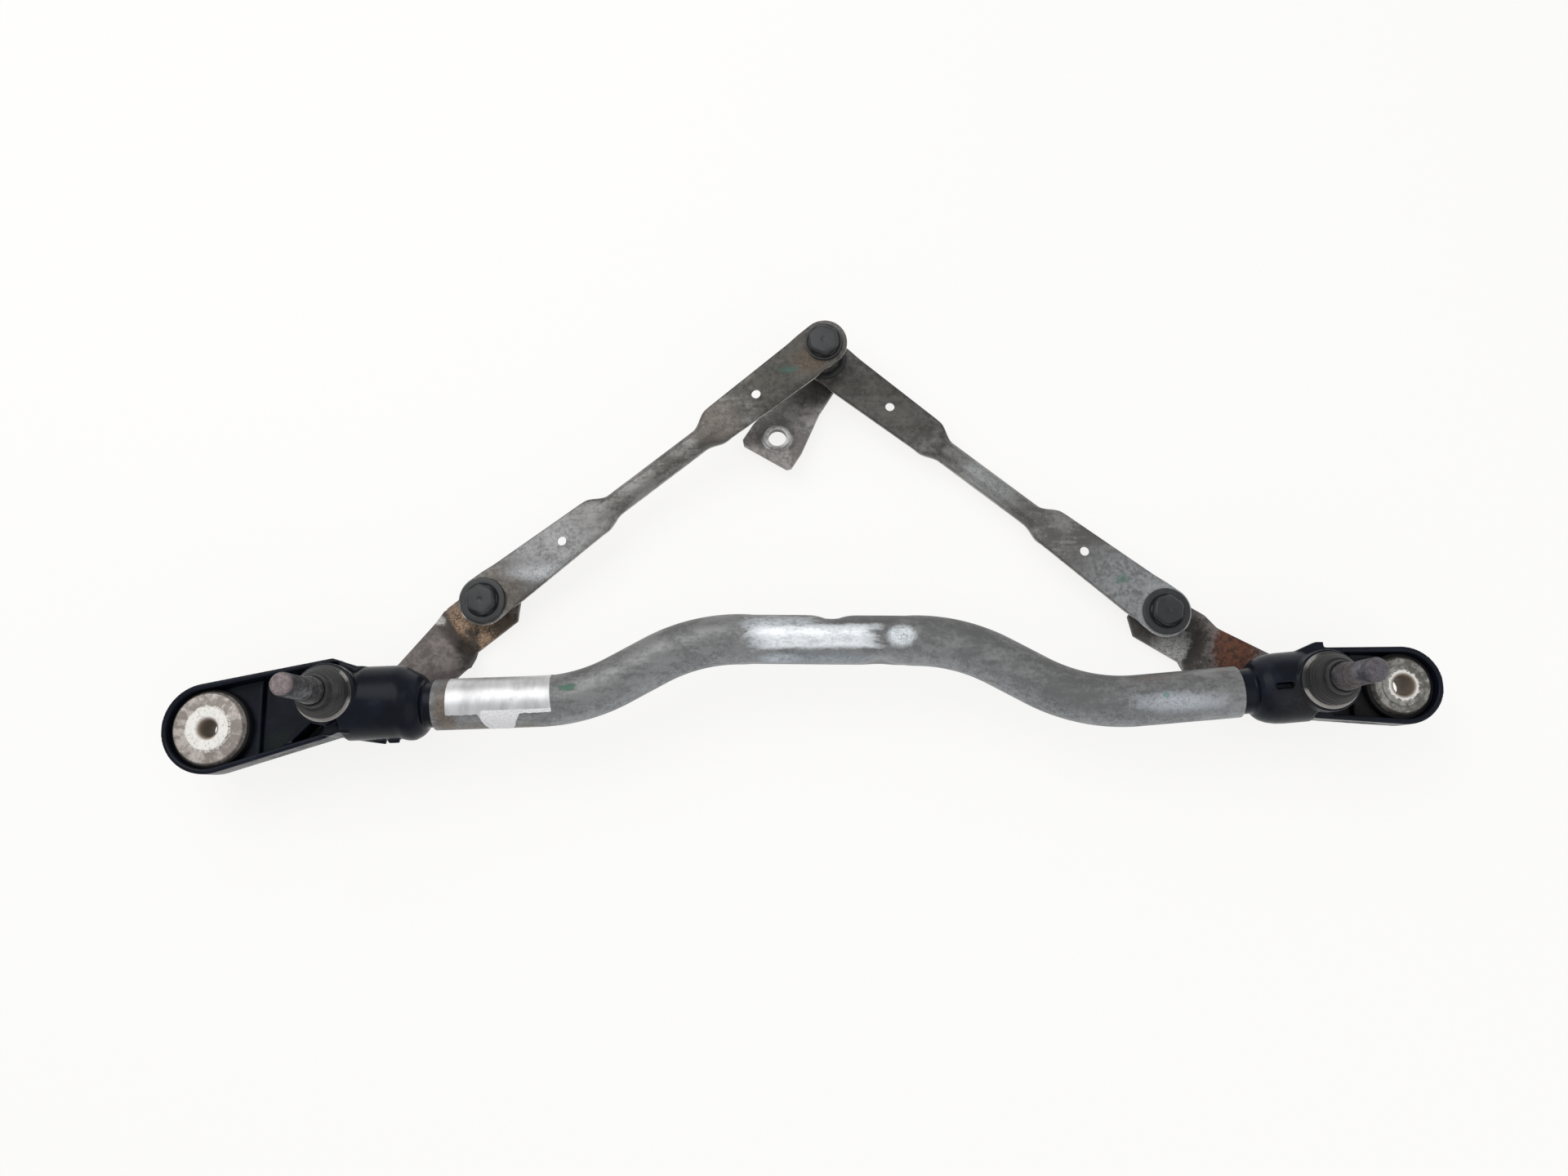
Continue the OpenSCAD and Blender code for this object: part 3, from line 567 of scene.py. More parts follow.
@dataclass(frozen=True)
class Foil(Finish):
    """Blank silver foil with creases, grime and a torn paper patch."""

    silver: RGB = (0.74, 0.735, 0.74)
    shade: RGB = (0.52, 0.515, 0.515)
    dirt: RGB = (0.32, 0.3, 0.285)
    fibre: RGB = (0.72, 0.71, 0.72)
    paper: RGB = (0.86, 0.85, 0.86)
    crease_scale: float = 150.0
    crease_stretch: RGB = (1.0, 0.35, 0.35)
    grime_scale: float = 70.0
    speck_scale: float = 900.0
    tear_scale: float = 240.0
    bump: float = 0.25
    bump_depth: float = 0.3 * MM

    def surface(self, g: Graph) -> Surface:
        """Lays creases, grime and torn paper on the foil.

        Args:
            g: Graph of the material.

        Returns:
            The surface.
        """
        crease = g.noise(self.crease_scale, 5.0, 0.6, g.stretched(self.crease_stretch))
        grime = g.noise(self.grime_scale, 7.0, 0.65)
        speck = g.noise(self.speck_scale, 4.0, 0.6)
        colour = g.mix(crease.step(0.3, 0.75), self.silver, self.shade)
        colour = g.mix(grime.step(0.52, 0.74) * 0.45, colour, self.dirt)
        flap = g.node("ShaderNodeAttribute", {"attribute_name": "paper"}, out="Fac")
        torn = (flap + (g.noise(self.tear_scale, 7.0, 0.7) - 0.5) * 0.9).step(0.42, 0.58)
        colour = g.mix(torn, colour, g.mix(speck.step(0.4, 0.6), self.fibre, self.paper))
        rough = 0.34 + grime * 0.2 + torn * 0.4
        metal = 0.75 - torn * 0.75
        height = crease + speck * 0.2 + torn * 0.6
        return Surface(colour, rough, metal, height, self.bump, self.bump_depth)


# Mesh helpers


def link_in(name: str, mesh: bpy.types.Mesh) -> bpy.types.Object:
    """Puts a mesh into the scene.

    Args:
        name: Name of the object.
        mesh: Mesh to show.

    Returns:
        The new object, at the origin.
    """
    made = bpy.data.objects.new(name, mesh)
    bpy.context.scene.collection.objects.link(made)
    return made


def shade(obj: bpy.types.Object, angle: float = 32.0) -> bpy.types.Object:
    """Shades an object smooth and keeps edges over an angle sharp.

    Args:
        obj: Mesh object.
        angle: Largest smooth angle in degrees.

    Returns:
        The same object.
    """
    obj.data.shade_smooth()
    obj.data.set_sharp_from_angle(angle=math.radians(angle))
    return obj


def from_bmesh(name: str, bm: bmesh.types.BMesh, angle: float = 32.0) -> bpy.types.Object:
    """Turns a bmesh into an object with its faces outwards.

    Args:
        name: Name of the object.
        bm: Mesh, freed here.
        angle: Largest smooth angle in degrees.

    Returns:
        The new object.
    """
    bmesh.ops.remove_doubles(bm, verts=bm.verts, dist=2e-6)
    bmesh.ops.recalc_face_normals(bm, faces=bm.faces)
    mesh = bpy.data.meshes.new(name)
    bm.to_mesh(mesh)
    bm.free()
    return shade(link_in(name, mesh), angle)


def settle(obj: bpy.types.Object, angle: float = 32.0) -> bpy.types.Object:
    """Applies an object's modifiers, whatever its type, and leaves a plain mesh.

    Args:
        obj: Object with modifiers.
        angle: Largest smooth angle in degrees.

    Returns:
        A new mesh object that takes the old one's name.
    """
    name = obj.name
    graph = bpy.context.evaluated_depsgraph_get()
    mesh = bpy.data.meshes.new_from_object(obj.evaluated_get(graph))
    obj.modifiers.clear()
    bpy.data.objects.remove(obj)
    mesh.name = name
    return shade(link_in(name, mesh), angle)


def solid_copy(node: str) -> bmesh.types.BMesh:
    """Copies a CAD node's mesh, merged and with its flat faces made whole.

    Args:
        node: Name of the node.

    Returns:
        The copy.
    """
    source = frame["nodes"][node].data
    bm = bmesh.new()
    verts = [bm.verts.new(v.co) for v in source.vertices]
    for face in source.polygons:
        bm.faces.new([verts[i] for i in face.vertices])
    bmesh.ops.remove_doubles(bm, verts=bm.verts, dist=1e-6)
    bmesh.ops.dissolve_limit(bm, angle_limit=math.radians(0.6), verts=bm.verts, edges=bm.edges)
    return bm


def sharp_edges(bm: bmesh.types.BMesh, least: float) -> List[bmesh.types.BMEdge]:
    """Lists the edges that turn by more than an angle.

    Args:
        bm: Mesh to search.
        least: Least angle in degrees.

    Returns:
        The edges.
    """
    limit = math.radians(least)
    return [e for e in bm.edges if len(e.link_faces) == 2 and e.calc_face_angle(0.0) > limit]


def round_edges(bm: bmesh.types.BMesh, edges: List[bmesh.types.BMEdge], width: float, steps: int) -> None:
    """Rounds edges of a mesh.

    Args:
        bm: Mesh to change.
        edges: Edges to round.
        width: Width of the rounds in metres.
        steps: Segments across a round.
    """
    bmesh.ops.bevel(
        bm, geom=edges, offset=width, segments=steps, profile=0.5, affect="EDGES", clamp_overlap=True
    )


def softened(node: str, name: str, width: float, steps: int = 2) -> bpy.types.Object:
    """Copies a CAD node and breaks its sharp edges.

    Args:
        node: Name of the node.
        name: Name of the new piece.
        width: Width of the broken edges in metres.
        steps: Segments across an edge.

    Returns:
        The new piece.
    """
    bm = solid_copy(node)
    round_edges(bm, sharp_edges(bm, 25.0), width, steps)
    return from_bmesh(name, bm)


def rounded(points: Sequence[Point2], radius: float, steps: int = 4) -> List[Point2]:
    """Rounds the inner corners of an open outline.

    Args:
        points: Corners of the outline.
        radius: Cut back at each corner.
        steps: Points on each round.

    Returns:
        The rounded outline.
    """
    out: List[Point2] = [points[0]]
    for before, corner, after in zip(points, points[1:], points[2:]):
        here = Vector(corner)
        back = Vector(before) - here
        on = Vector(after) - here
        cut = min(radius, 0.45 * back.length, 0.45 * on.length)
        start = here + back.normalized() * cut
        end = here + on.normalized() * cut
        for i in range(steps + 1):
            t = i / steps
            p = start * (1 - t) ** 2 + here * (2 * t * (1 - t)) + end * t * t
            out.append((p.x, p.y))
    out.append(points[-1])
    return out


def lathe(
    name: str,
    profile: Sequence[Point2],
    place: Matrix,
    segments: int = 96,
    warp: Optional[Warp] = None,
    closed: bool = False,
) -> bpy.types.Object:
    """Turns an outline about the Z axis of a placement.

    Args:
        name: Name of the piece.
        profile: Radius and height pairs.
        place: Placement of the axis.
        segments: Segments around.
        warp: Changes radius and height from angle, radius and height.
        closed: Joins the last point to the first.

    Returns:
        The new piece.
    """
    bm = bmesh.new()
    rings: List[List[bmesh.types.BMVert]] = []
    for radius, height in profile:
        ring = []
        for i in range(segments):
            angle = 2.0 * math.pi * i / segments
            r, z = warp(angle, radius, height) if warp else (radius, height)
            ring.append(bm.verts.new(place @ Vector((r * math.cos(angle), r * math.sin(angle), z))))
        rings.append(ring)
    pairs = list(zip(rings, rings[1:])) + ([(rings[-1], rings[0])] if closed else [])
    for low, high in pairs:
        for i in range(segments):
            j = (i + 1) % segments
            bm.faces.new((low[i], low[j], high[j], high[i]))
    bmesh.ops.remove_doubles(bm, verts=bm.verts, dist=1e-6)
    bmesh.ops.dissolve_degenerate(bm, edges=bm.edges, dist=1e-7)
    return from_bmesh(name, bm)


def add_prism(bm: bmesh.types.BMesh, outline: Sequence[Point2], low: float, high: float) -> None:
    """Adds an upright prism to a mesh.

    Args:
        bm: Mesh to add to.
        outline: Corners in metres.
        low: Underside in metres.
        high: Top in metres.
    """
    rings = [[bm.verts.new((x, y, z)) for x, y in outline] for z in (low, high)]
    for ring in rings:
        bm.faces.new(ring)
    for i in range(len(outline)):
        j = (i + 1) % len(outline)
        bm.faces.new((rings[0][i], rings[0][j], rings[1][j], rings[1][i]))


def join_rows(bm: bmesh.types.BMesh, rows: Sequence[Sequence[bmesh.types.BMVert]]) -> None:
    """Joins rows of points to a sheet of quads.

    Args:
        bm: Mesh that holds the points.
        rows: Rows of equal length.
    """
    for low, high in zip(rows, rows[1:]):
        for j in range(len(low) - 1):
            bm.faces.new((low[j], high[j], high[j + 1], low[j + 1]))


def facing_up(sheet: bpy.types.Object) -> bpy.types.Object:
    """Turns a sheet's faces upwards.

    Args:
        sheet: Sheet whose faces all point to one side.

    Returns:
        The same sheet.
    """
    if sum(p.normal.z * p.area for p in sheet.data.polygons) < 0.0:
        sheet.data.flip_normals()
    return sheet


def ramp(value: float, low: float, high: float) -> float:
    """Smooth step in plain numbers.

    Args:
        value: Value to step.
        low: Value that gives 0.
        high: Value that gives 1.

    Returns:
        The stepped value.
    """
    t = max(0.0, min(1.0, (value - low) / (high - low)))
    return t * t * (3.0 - 2.0 * t)


def dress(obj: bpy.types.Object, finish: Finish) -> None:
    """Gives an object one finish.

    Args:
        obj: Object to dress.
        finish: Finish to give.
    """
    obj.data.materials.clear()
    obj.data.materials.append(finish.material())


def stand_for(piece: bpy.types.Object, node: str, finish: Finish) -> None:
    """Puts a finished piece in a CAD node's place.

    Args:
        piece: Finished piece.
        node: Node that it stands for.
        finish: Finish of the piece.
    """
    dress(piece, finish)
    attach(piece, BODY_OF[node])
    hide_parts(node)
    LOG.info("%s stands for %s", piece.name, node)


def keep(node: str, finish: Finish) -> None:
    """Keeps a CAD node's shape and gives it a finish.

    Args:
        node: Node to keep.
        finish: Finish to give.
    """
    dress(frame["nodes"][node], finish)
    LOG.info("%s keeps its solid", node)


def node_axis(node: str) -> Point2:
    """X and Y of an upright round node's axis.

    Args:
        node: Name of the node.

    Returns:
        The axis in metres.
    """
    low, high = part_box(node)
    return (0.5 * (low.x + high.x), 0.5 * (low.y + high.y))


def upright(axis: Point2, height: float = 0.0) -> Matrix:
    """Placement on an upright axis."""
    return Matrix.Translation((axis[0], axis[1], height))


def ahead(turn: float) -> Vector:
    """Level unit vector at a heading in radians."""
    return Vector((math.cos(turn), math.sin(turn), 0.0))


def aside(turn: float) -> Vector:
    """Level unit vector to the left of a heading in radians."""
    return Vector((-math.sin(turn), math.cos(turn), 0.0))


def in_metres(*points: Point2) -> Tuple[Point2, ...]:
    """Points given in millimetres."""
    return tuple((x * MM, y * MM) for x, y in points)


class Recipe:
    """Geometry Nodes tree with named inputs, run on an object to make a plain mesh."""

    def __init__(self, name: str, sockets: Mapping[str, str]) -> None:
        """Makes the tree with its inputs.

        Args:
            name: Name of the tree.
            sockets: Kind of each named input.
        """
        self.tree = bpy.data.node_groups.new(name, "GeometryNodeTree")
        for title, kind in {"Geometry": "Geometry", **sockets, "Finish": "Material"}.items():
            self.tree.interface.new_socket(title, in_out="INPUT", socket_type=f"NodeSocket{kind}")
        self.tree.interface.new_socket("Geometry", in_out="OUTPUT", socket_type="NodeSocketGeometry")
        self.graph = Graph(self.tree)
        self._inputs = self.tree.nodes.new("NodeGroupInput")

    def given(self, name: str) -> Sock:
        """Named input of the tree."""
        return Sock(self.graph, self._inputs.outputs[name])

    def end(self, shape: Sock) -> None:
        """Ends the tree with real geometry that wears the finish.

        Args:
            shape: Geometry to hand out.
        """
        real = self.graph.node("GeometryNodeRealizeInstances", {}, {"Geometry": shape})
        worn = {"Geometry": real, "Material": self.given("Finish")}
        self.graph.node(
            "NodeGroupOutput", {}, {"Geometry": self.graph.node("GeometryNodeSetMaterial", {}, worn)}
        )

    def run(self, start: bpy.types.Object, values: Mapping[str, Any]) -> bpy.types.Object:
        """Runs the tree and leaves a plain mesh.

        Args:
            start: Object that the tree starts from, which is used up.
            values: Values of the named inputs.

        Returns:
            The new mesh object.
        """
        use = start.modifiers.new(self.tree.name, "NODES")
        use.node_group = self.tree
        for item in self.tree.interface.items_tree:
            if item.in_out == "INPUT" and item.name in values:
                use[item.identifier] = values[item.name]
        return settle(start)


# Finishes

ZINC = Metal(
    "tube_zinc", base=(0.248, 0.247, 0.245), dark=(0.148, 0.148, 0.147), rust=(0.13, 0.085, 0.06),
    rust_share=0.06, bloom=(0.4, 0.43, 0.46), bloom_share=0.06, rough=0.5, metal=0.62, stain=26.0,
    streak=(0.4, 1.0, 1.0), flank=0.6, fleck=0.42,
    patches=(
        # Rubbed clamp stretch, painted near white as a highlight, with painted glints along its lower side
        Patch(
            (0.304, 0.0462, 0.0105), (0.0184, 0.0082, 0.0084), (0.62, 0.65, 0.675), strength=0.95,
            rough=0.38, metal=0.55, ragged=1.7, grain=190.0, mottle=0.45, stretch=(0.5, 1.0, 1.0),
            boxed=True,
        ),
        # Rubbed core of the stretch, painted brightest as the highlight
        Patch(
            (0.324, 0.0432, 0.0125), (0.0305, 0.0062, 0.007), (0.86, 0.885, 0.91), strength=0.97,
            rough=0.34, metal=0.5, ragged=0.9, grain=210.0, soft=0.4, mottle=0.25,
            stretch=(0.5, 1.0, 1.0), boxed=True,
        ),
        Patch(
            (0.3676, 0.043, 0.0125), (0.0078, 0.0058, 0.006), (0.74, 0.78, 0.8), strength=0.9,
            rough=0.38, metal=0.5, ragged=1.1, grain=260.0, mottle=0.5,
        ),
        # Painted glints along the lower side of the clamp stretch
        Patch(
            (0.304, 0.0318, 0.009), (0.0115, 0.0034, 0.006), (0.5, 0.54, 0.58), strength=0.8, rough=0.4,
            metal=0.5, ragged=1.3, grain=240.0, soft=0.6, mottle=0.4,
        ),
        Patch(
            (0.325, 0.031, 0.009), (0.036, 0.0035, 0.006), (0.34, 0.38, 0.42), strength=0.6, rough=0.4,
            metal=0.6, ragged=1.8, grain=240.0, soft=0.8, mottle=0.4,
        ),
        # Green dab on the first bend, brown stains at the left end
        Patch(
            (0.1925, 0.0185, 0.0135), (0.0052, 0.002, 0.003), (0.02, 0.13, 0.07), strength=0.75,
            rough=0.5, ragged=1.6, grain=700.0,
        ),
        Patch(
            (0.128, 0.006, 0.008), (0.006, 0.016, 0.012), (0.17, 0.12, 0.08), strength=0.7, metal=0.2,
            ragged=1.2, grain=200.0, soft=0.8,
        ),
        Patch(
            (0.15, -0.001, 0.003), (0.03, 0.004, 0.008), (0.19, 0.165, 0.13), strength=0.6, rough=0.5,
            metal=0.3, grain=160.0, soft=0.8,
        ),
        # Brown stains, pale bloom and a green dab at the right end
        Patch(
            (0.5335, 0.0245, 0.0115), (0.0062, 0.0036, 0.005), (0.2, 0.15, 0.12), strength=0.7,
            metal=0.3, ragged=0.9, grain=500.0,
        ),
        Patch(
            (0.497, 0.0215, 0.0115), (0.013, 0.004, 0.006), (0.17, 0.11, 0.08), strength=0.55,
            metal=0.3, ragged=1.8, grain=260.0, soft=0.8,
        ),
        Patch(
            (0.509, 0.0065, 0.0115), (0.024, 0.0055, 0.008), (0.5, 0.53, 0.57), strength=0.75,
            rough=0.5, metal=0.4, ragged=2.2, grain=330.0, soft=0.9, mottle=0.4,
        ),
        Patch(
            (0.503, 0.01, 0.0135), (0.0016, 0.0016, 0.004), (0.05, 0.24, 0.16), strength=0.5, rough=0.5,
            ragged=1.6, grain=900.0,
        ),
    ),
)
FOIL = Foil("label_foil")
HOUSING = Moulding(
    "housing_plastic", base=(0.003, 0.0042, 0.0085), dust=(0.05, 0.05, 0.054), dust_share=0.04, rough=0.3,
    shine=0.14,
    patches=(
        # Floors of both troughs, duller and painted lighter as a reflection, and dust on the right housing
        Patch(
            (0.034, -0.007, -0.004), (0.012, 0.008, 0.006), (0.016, 0.027, 0.021), strength=0.6,
            rough=0.65, ragged=1.6, grain=200.0,
        ),
        Patch(
            (0.608, 0.0, -0.004), (0.012, 0.012, 0.006), (0.022, 0.02, 0.018), strength=0.6, rough=0.7,
            ragged=1.6, grain=240.0,
        ),
        Patch(
            (0.57, 0.006, 0.016), (0.014, 0.01, 0.008), (0.03, 0.028, 0.026), strength=0.45, rough=0.5,
            ragged=1.8, grain=200.0, soft=0.9,
        ),
    ),
)
GROMMET = Moulding(
    "grommet_rubber", base=(0.006, 0.006, 0.006), dust_share=0.08, rough=0.7, grain=1400.0, shine=0.25
)
CAP = Moulding(
    "seal_cap_rubber", base=(0.0115, 0.0112, 0.011), dust_share=0.14, rough=0.5, grain=1600.0, shine=0.4
)
SOCKET = Moulding(
    "socket_plastic", base=(0.0135, 0.0138, 0.0145), dust_share=0.1, rough=0.42, grain=1800.0, shine=0.5
)
NYLON = Moulding(
    "washer_nylon", base=(0.24, 0.225, 0.21), dust=(0.11, 0.1, 0.09), dust_share=0.2, rough=0.5,
    grain=1200.0,
    patches=tuple(
        Patch(at, size, (0.014, 0.014, 0.014), strength=strength, ragged=ragged, grain=300.0)
        for at, size, strength, ragged in (
            ((0.082, 0.0185, 0.024), (0.007, 0.0065, 0.006), 0.95, 0.6),
            ((0.0676, 0.03, 0.024), (0.012, 0.007, 0.006), 0.9, 0.9),
            ((0.5705, 0.017, 0.023), (0.007, 0.0075, 0.006), 0.95, 0.6),
            ((0.588, 0.03, 0.023), (0.013, 0.007, 0.006), 0.9, 0.9),
        )
    ),
)
BRONZE = Metal(
    "bearing_bronze", base=(0.34, 0.22, 0.1), dark=(0.2, 0.13, 0.06), rust_share=0.0, bloom_share=0.0,
    rough=0.42,
)
STUD = Metal(
    "stud_steel", base=(0.26, 0.25, 0.24), dark=(0.14, 0.13, 0.12), rust_share=0.14, bloom_share=0.05,
    rough=0.42,
)
CLIP = Metal(
    "clip_steel", base=(0.16, 0.155, 0.15), dark=(0.09, 0.085, 0.08), rust_share=0.08, bloom_share=0.03
)
LINK = {
    Side.LEFT: Metal(
        "left_link_steel", base=(0.235, 0.226, 0.216), dark=(0.1, 0.093, 0.084), rust=(0.13, 0.08, 0.05),
        rust_share=0.1, bloom=(0.42, 0.43, 0.43), bloom_share=0.1, rough=0.46, metal=0.6, stain=30.0,
        streak=(0.14, 1.0, 1.0), streak_turn=math.radians(-36.2), rim=0.9, fleck=0.42,
        patches=(
            # Dark crank end, then the lever end, then a green dab
            Patch(
                (0.31, 0.198, -0.005), (0.04, 0.03, 0.02), (0.064, 0.058, 0.048), strength=0.8,
                rough=0.5, metal=0.5, ragged=1.6, grain=90.0, soft=0.9,
            ),
            Patch(
                (0.322, 0.2015, -0.003), (0.01, 0.008, 0.02), (0.12, 0.085, 0.055), strength=0.7,
                metal=0.2, ragged=1.8, grain=260.0, soft=0.8,
            ),
            Patch(
                (0.27, 0.168, -0.009), (0.014, 0.012, 0.01), (0.19, 0.16, 0.135), strength=0.5,
                rough=0.5, metal=0.4, ragged=1.8, grain=260.0, soft=0.9,
            ),
            Patch(
                (0.175, 0.0985, -0.019), (0.034, 0.02, 0.012), (0.31, 0.31, 0.315), strength=0.65,
                rough=0.45, metal=0.5, ragged=1.6, grain=120.0, soft=0.9,
            ),
            Patch(
                (0.1475, 0.0785, -0.021), (0.014, 0.013, 0.012), (0.13, 0.108, 0.085), strength=0.6,
                rough=0.5, metal=0.4, ragged=1.8, grain=150.0, soft=0.9,
            ),
            Patch(
                (0.172, 0.086, -0.02), (0.022, 0.005, 0.012), (0.46, 0.47, 0.48), strength=0.7,
                rough=0.5, metal=0.4, ragged=2.0, grain=300.0, soft=0.8,
            ),
            Patch(
                (0.3099, 0.1971, -0.003), (0.0064, 0.002, 0.01), (0.03, 0.1, 0.07), strength=0.7,
                rough=0.5, ragged=1.9, grain=500.0, soft=0.8,
            ),
        ),
    ),
    Side.RIGHT: Metal(
        "right_link_steel", base=(0.25, 0.244, 0.237), dark=(0.115, 0.11, 0.102), rust=(0.12, 0.08, 0.055),
        rust_share=0.08, bloom=(0.44, 0.46, 0.46), bloom_share=0.11, rough=0.46, metal=0.6, stain=30.0,
        streak=(0.14, 1.0, 1.0), streak_turn=math.radians(39.1), rim=0.9, fleck=0.42,
        patches=(
            # Dark crank end, then paler stretches towards the lever, then green dabs
            Patch(
                (0.368, 0.184, -0.021), (0.052, 0.044, 0.02), (0.056, 0.052, 0.044), strength=0.8,
                rough=0.5, metal=0.5, ragged=1.6, grain=90.0, soft=0.9,
            ),
            Patch(
                (0.497, 0.0735, -0.021), (0.036, 0.026, 0.012), (0.28, 0.285, 0.288), strength=0.7,
                rough=0.45, metal=0.5, ragged=1.6, grain=120.0, soft=0.9,
            ),
            Patch(
                (0.42, 0.132, -0.021), (0.022, 0.02, 0.012), (0.42, 0.43, 0.43), strength=0.5,
                rough=0.45, metal=0.4, ragged=2.4, soft=0.9,
            ),
            Patch(
                (0.5163, 0.0588, -0.021), (0.0165, 0.0165, 0.01), (0.44, 0.455, 0.47), strength=0.8,
                rough=0.45, metal=0.5, ragged=1.2, grain=300.0, soft=0.6,
            ),
            Patch(
                (0.5267, 0.0468, -0.021), (0.0035, 0.0025, 0.006), (0.03, 0.14, 0.09), strength=0.7,
                rough=0.5, ragged=1.6, grain=700.0,
            ),
            Patch(
                (0.4935, 0.0775, -0.021), (0.005, 0.0028, 0.006), (0.06, 0.17, 0.12), strength=0.5,
                rough=0.5, ragged=1.9, grain=500.0, soft=0.8,
            ),
        ),
    ),
}
LEVER = Metal(
    "lever_steel", base=(0.178, 0.153, 0.146), dark=(0.1, 0.086, 0.08), rust_share=0.12, bloom_share=0.04,
    rough=0.5, metal=0.5, stain=45.0, fleck=0.4,
    patches=(
        # Left lever, with painted shade on the joggle's riser and a painted highlight at its bend
        Patch(
            (0.128, 0.053, -0.034), (0.026, 0.02, 0.003), (0.36, 0.24, 0.155), strength=0.95, rough=0.7,
            metal=0.1, ragged=1.5, grain=260.0, mottle=0.85,
        ),
        Patch(
            (0.1495, 0.0575, -0.034), (0.012, 0.008, 0.004), (0.05, 0.036, 0.026), strength=0.8,
            rough=0.7, metal=0.1, ragged=1.5, grain=300.0, soft=0.6,
        ),
        # Painted shade on the riser of the joggle
        Patch(
            (0.128, 0.042, -0.03), (0.007, 0.022, 0.008), (0.03, 0.025, 0.02), strength=0.9, rough=0.7,
            metal=0.1, grain=200.0, soft=0.6,
        ),
        # Painted highlight at the bend
        Patch(
            (0.112, 0.0615, -0.026), (0.004, 0.004, 0.005), (0.62, 0.6, 0.56), strength=0.9, rough=0.5,
            metal=0.3, ragged=1.5, grain=500.0, soft=0.4,
        ),
        # Right lever, with painted shade on the joggle's riser
        Patch(
            (0.553, 0.036, -0.0235), (0.012, 0.02, 0.004), (0.125, 0.042, 0.018), strength=0.95,
            rough=0.75, metal=0.05, ragged=1.5, grain=330.0, soft=0.35, mottle=0.8,
        ),
        # Painted shade on the riser of the joggle
        Patch(
            (0.533, 0.038, -0.03), (0.009, 0.03, 0.009), (0.026, 0.022, 0.018), strength=0.9, rough=0.7,
            metal=0.1, ragged=1.6, grain=220.0, soft=0.6,
        ),
        Patch(
            (0.5215, 0.038, -0.034), (0.012, 0.012, 0.003), (0.46, 0.46, 0.44), strength=0.85,
            metal=0.2, ragged=2.4, soft=0.7, mottle=0.7,
        ),
        Patch(
            (0.5, 0.05, -0.034), (0.014, 0.012, 0.003), (0.05, 0.05, 0.045), strength=0.7, metal=0.2,
            ragged=1.6, grain=300.0, soft=0.7,
        ),
    ),
)
CRANK = Metal(
    "crank_steel", base=(0.33, 0.308, 0.295), dark=(0.17, 0.157, 0.148), rust_share=0.06, bloom_share=0.12,
    rough=0.48, metal=0.5, stain=60.0, fleck=0.6,
    patches=(
        # Painted shadow line round the seat that the nut rubbed bright round the bore
        Patch(
            (0.3029, 0.1649, -0.0279), (0.0112, 0.0112, 0.0014), (0.1, 0.092, 0.086), strength=0.8,
            rough=0.5, metal=0.4, ragged=0.5, grain=400.0, soft=0.4,
        ),
        Patch(
            (0.3029, 0.1649, -0.0279), (0.0091, 0.0091, 0.0013), (0.58, 0.57, 0.56), strength=0.95,
            rough=0.36, metal=0.5, ragged=0.4, grain=500.0, soft=0.25, mottle=0.4,
        ),
        Patch(
            (0.322, 0.196, -0.034), (0.02, 0.014, 0.006), (0.06, 0.055, 0.05), strength=0.8, rough=0.55,
            metal=0.4, ragged=1.0, grain=120.0, soft=0.8,
        ),
    ),
)
SPINDLE = {
    Side.LEFT: Metal(
        "left_spindle_steel", base=(0.15, 0.15, 0.155), dark=(0.055, 0.054, 0.056),
        rust=(0.1, 0.075, 0.068), rust_share=0.04, bloom_share=0.06, rough=0.42, metal=0.7, stain=90.0,
        patches=(
            Patch(
                (0.0676, 0.0162, 0.0713), (0.0072, 0.0072, 0.0022), (0.24, 0.19, 0.19), strength=0.9,
                metal=0.2, ragged=0.5, grain=400.0,
            ),
        ),
    ),
    Side.RIGHT: Metal(
        "right_spindle_steel", base=(0.15, 0.146, 0.16), dark=(0.055, 0.053, 0.06), rust=(0.1, 0.07, 0.06),
        rust_share=0.08, bloom_share=0.05, rough=0.44, metal=0.7, stain=90.0,
        patches=(
            Patch(
                (0.585, 0.0159, 0.0703), (0.0072, 0.0072, 0.0022), (0.13, 0.115, 0.13), strength=0.9,
                rough=0.5, metal=0.4, ragged=0.5, grain=400.0,
            ),
            Patch(
                (0.585, 0.0159, 0.048), (0.009, 0.009, 0.012), (0.12, 0.09, 0.08), strength=0.5,
                metal=0.3, grain=300.0,
            ),
        ),
    ),
}
BUSH = {
    Side.LEFT: SeatedBush(
        "left_bush_zinc", base=(0.56, 0.5, 0.46), dark=(0.27, 0.235, 0.21), rust=(0.2, 0.14, 0.1),
        rust_share=0.06, bloom=(0.7, 0.66, 0.62), bloom_share=0.1, rough=0.5, metal=0.45, stain=110.0,
        axis=node_axis("left_bush"), bore=4.4 * MM, bright_to=12.4 * MM,
        patches=(
            # Painted shade on the right side of the convex flange
            Patch(
                (0.0145, -0.002, 0.011), (0.009, 0.013, 0.006), (0.2, 0.175, 0.155), strength=0.75,
                rough=0.5, metal=0.4, ragged=1.5, grain=160.0, soft=0.9,
            ),
        ),
    ),
    Side.RIGHT: SeatedBush(
        "right_bush_zinc", base=(0.33, 0.315, 0.285), dark=(0.13, 0.12, 0.105), rust=(0.15, 0.11, 0.075),
        rust_share=0.1, bloom=(0.62, 0.61, 0.58), bloom_share=0.16, rough=0.45, metal=0.5, stain=120.0,
        axis=node_axis("right_bush"), bore=5.2 * MM, bright_to=8.2 * MM,
        patches=(
            Patch(
                (0.6382, 0.0105, 0.011), (0.0026, 0.0034, 0.006), (0.9, 0.89, 0.85), strength=0.9,
                rough=0.4, metal=0.3, ragged=0.8, grain=500.0,
            ),
            Patch(
                (0.637, 0.0215, 0.011), (0.003, 0.0024, 0.006), (0.62, 0.64, 0.66), strength=0.7,
                rough=0.4, metal=0.3, ragged=1.2, grain=500.0,
            ),
        ),
    ),
}


# Sub-assemblies


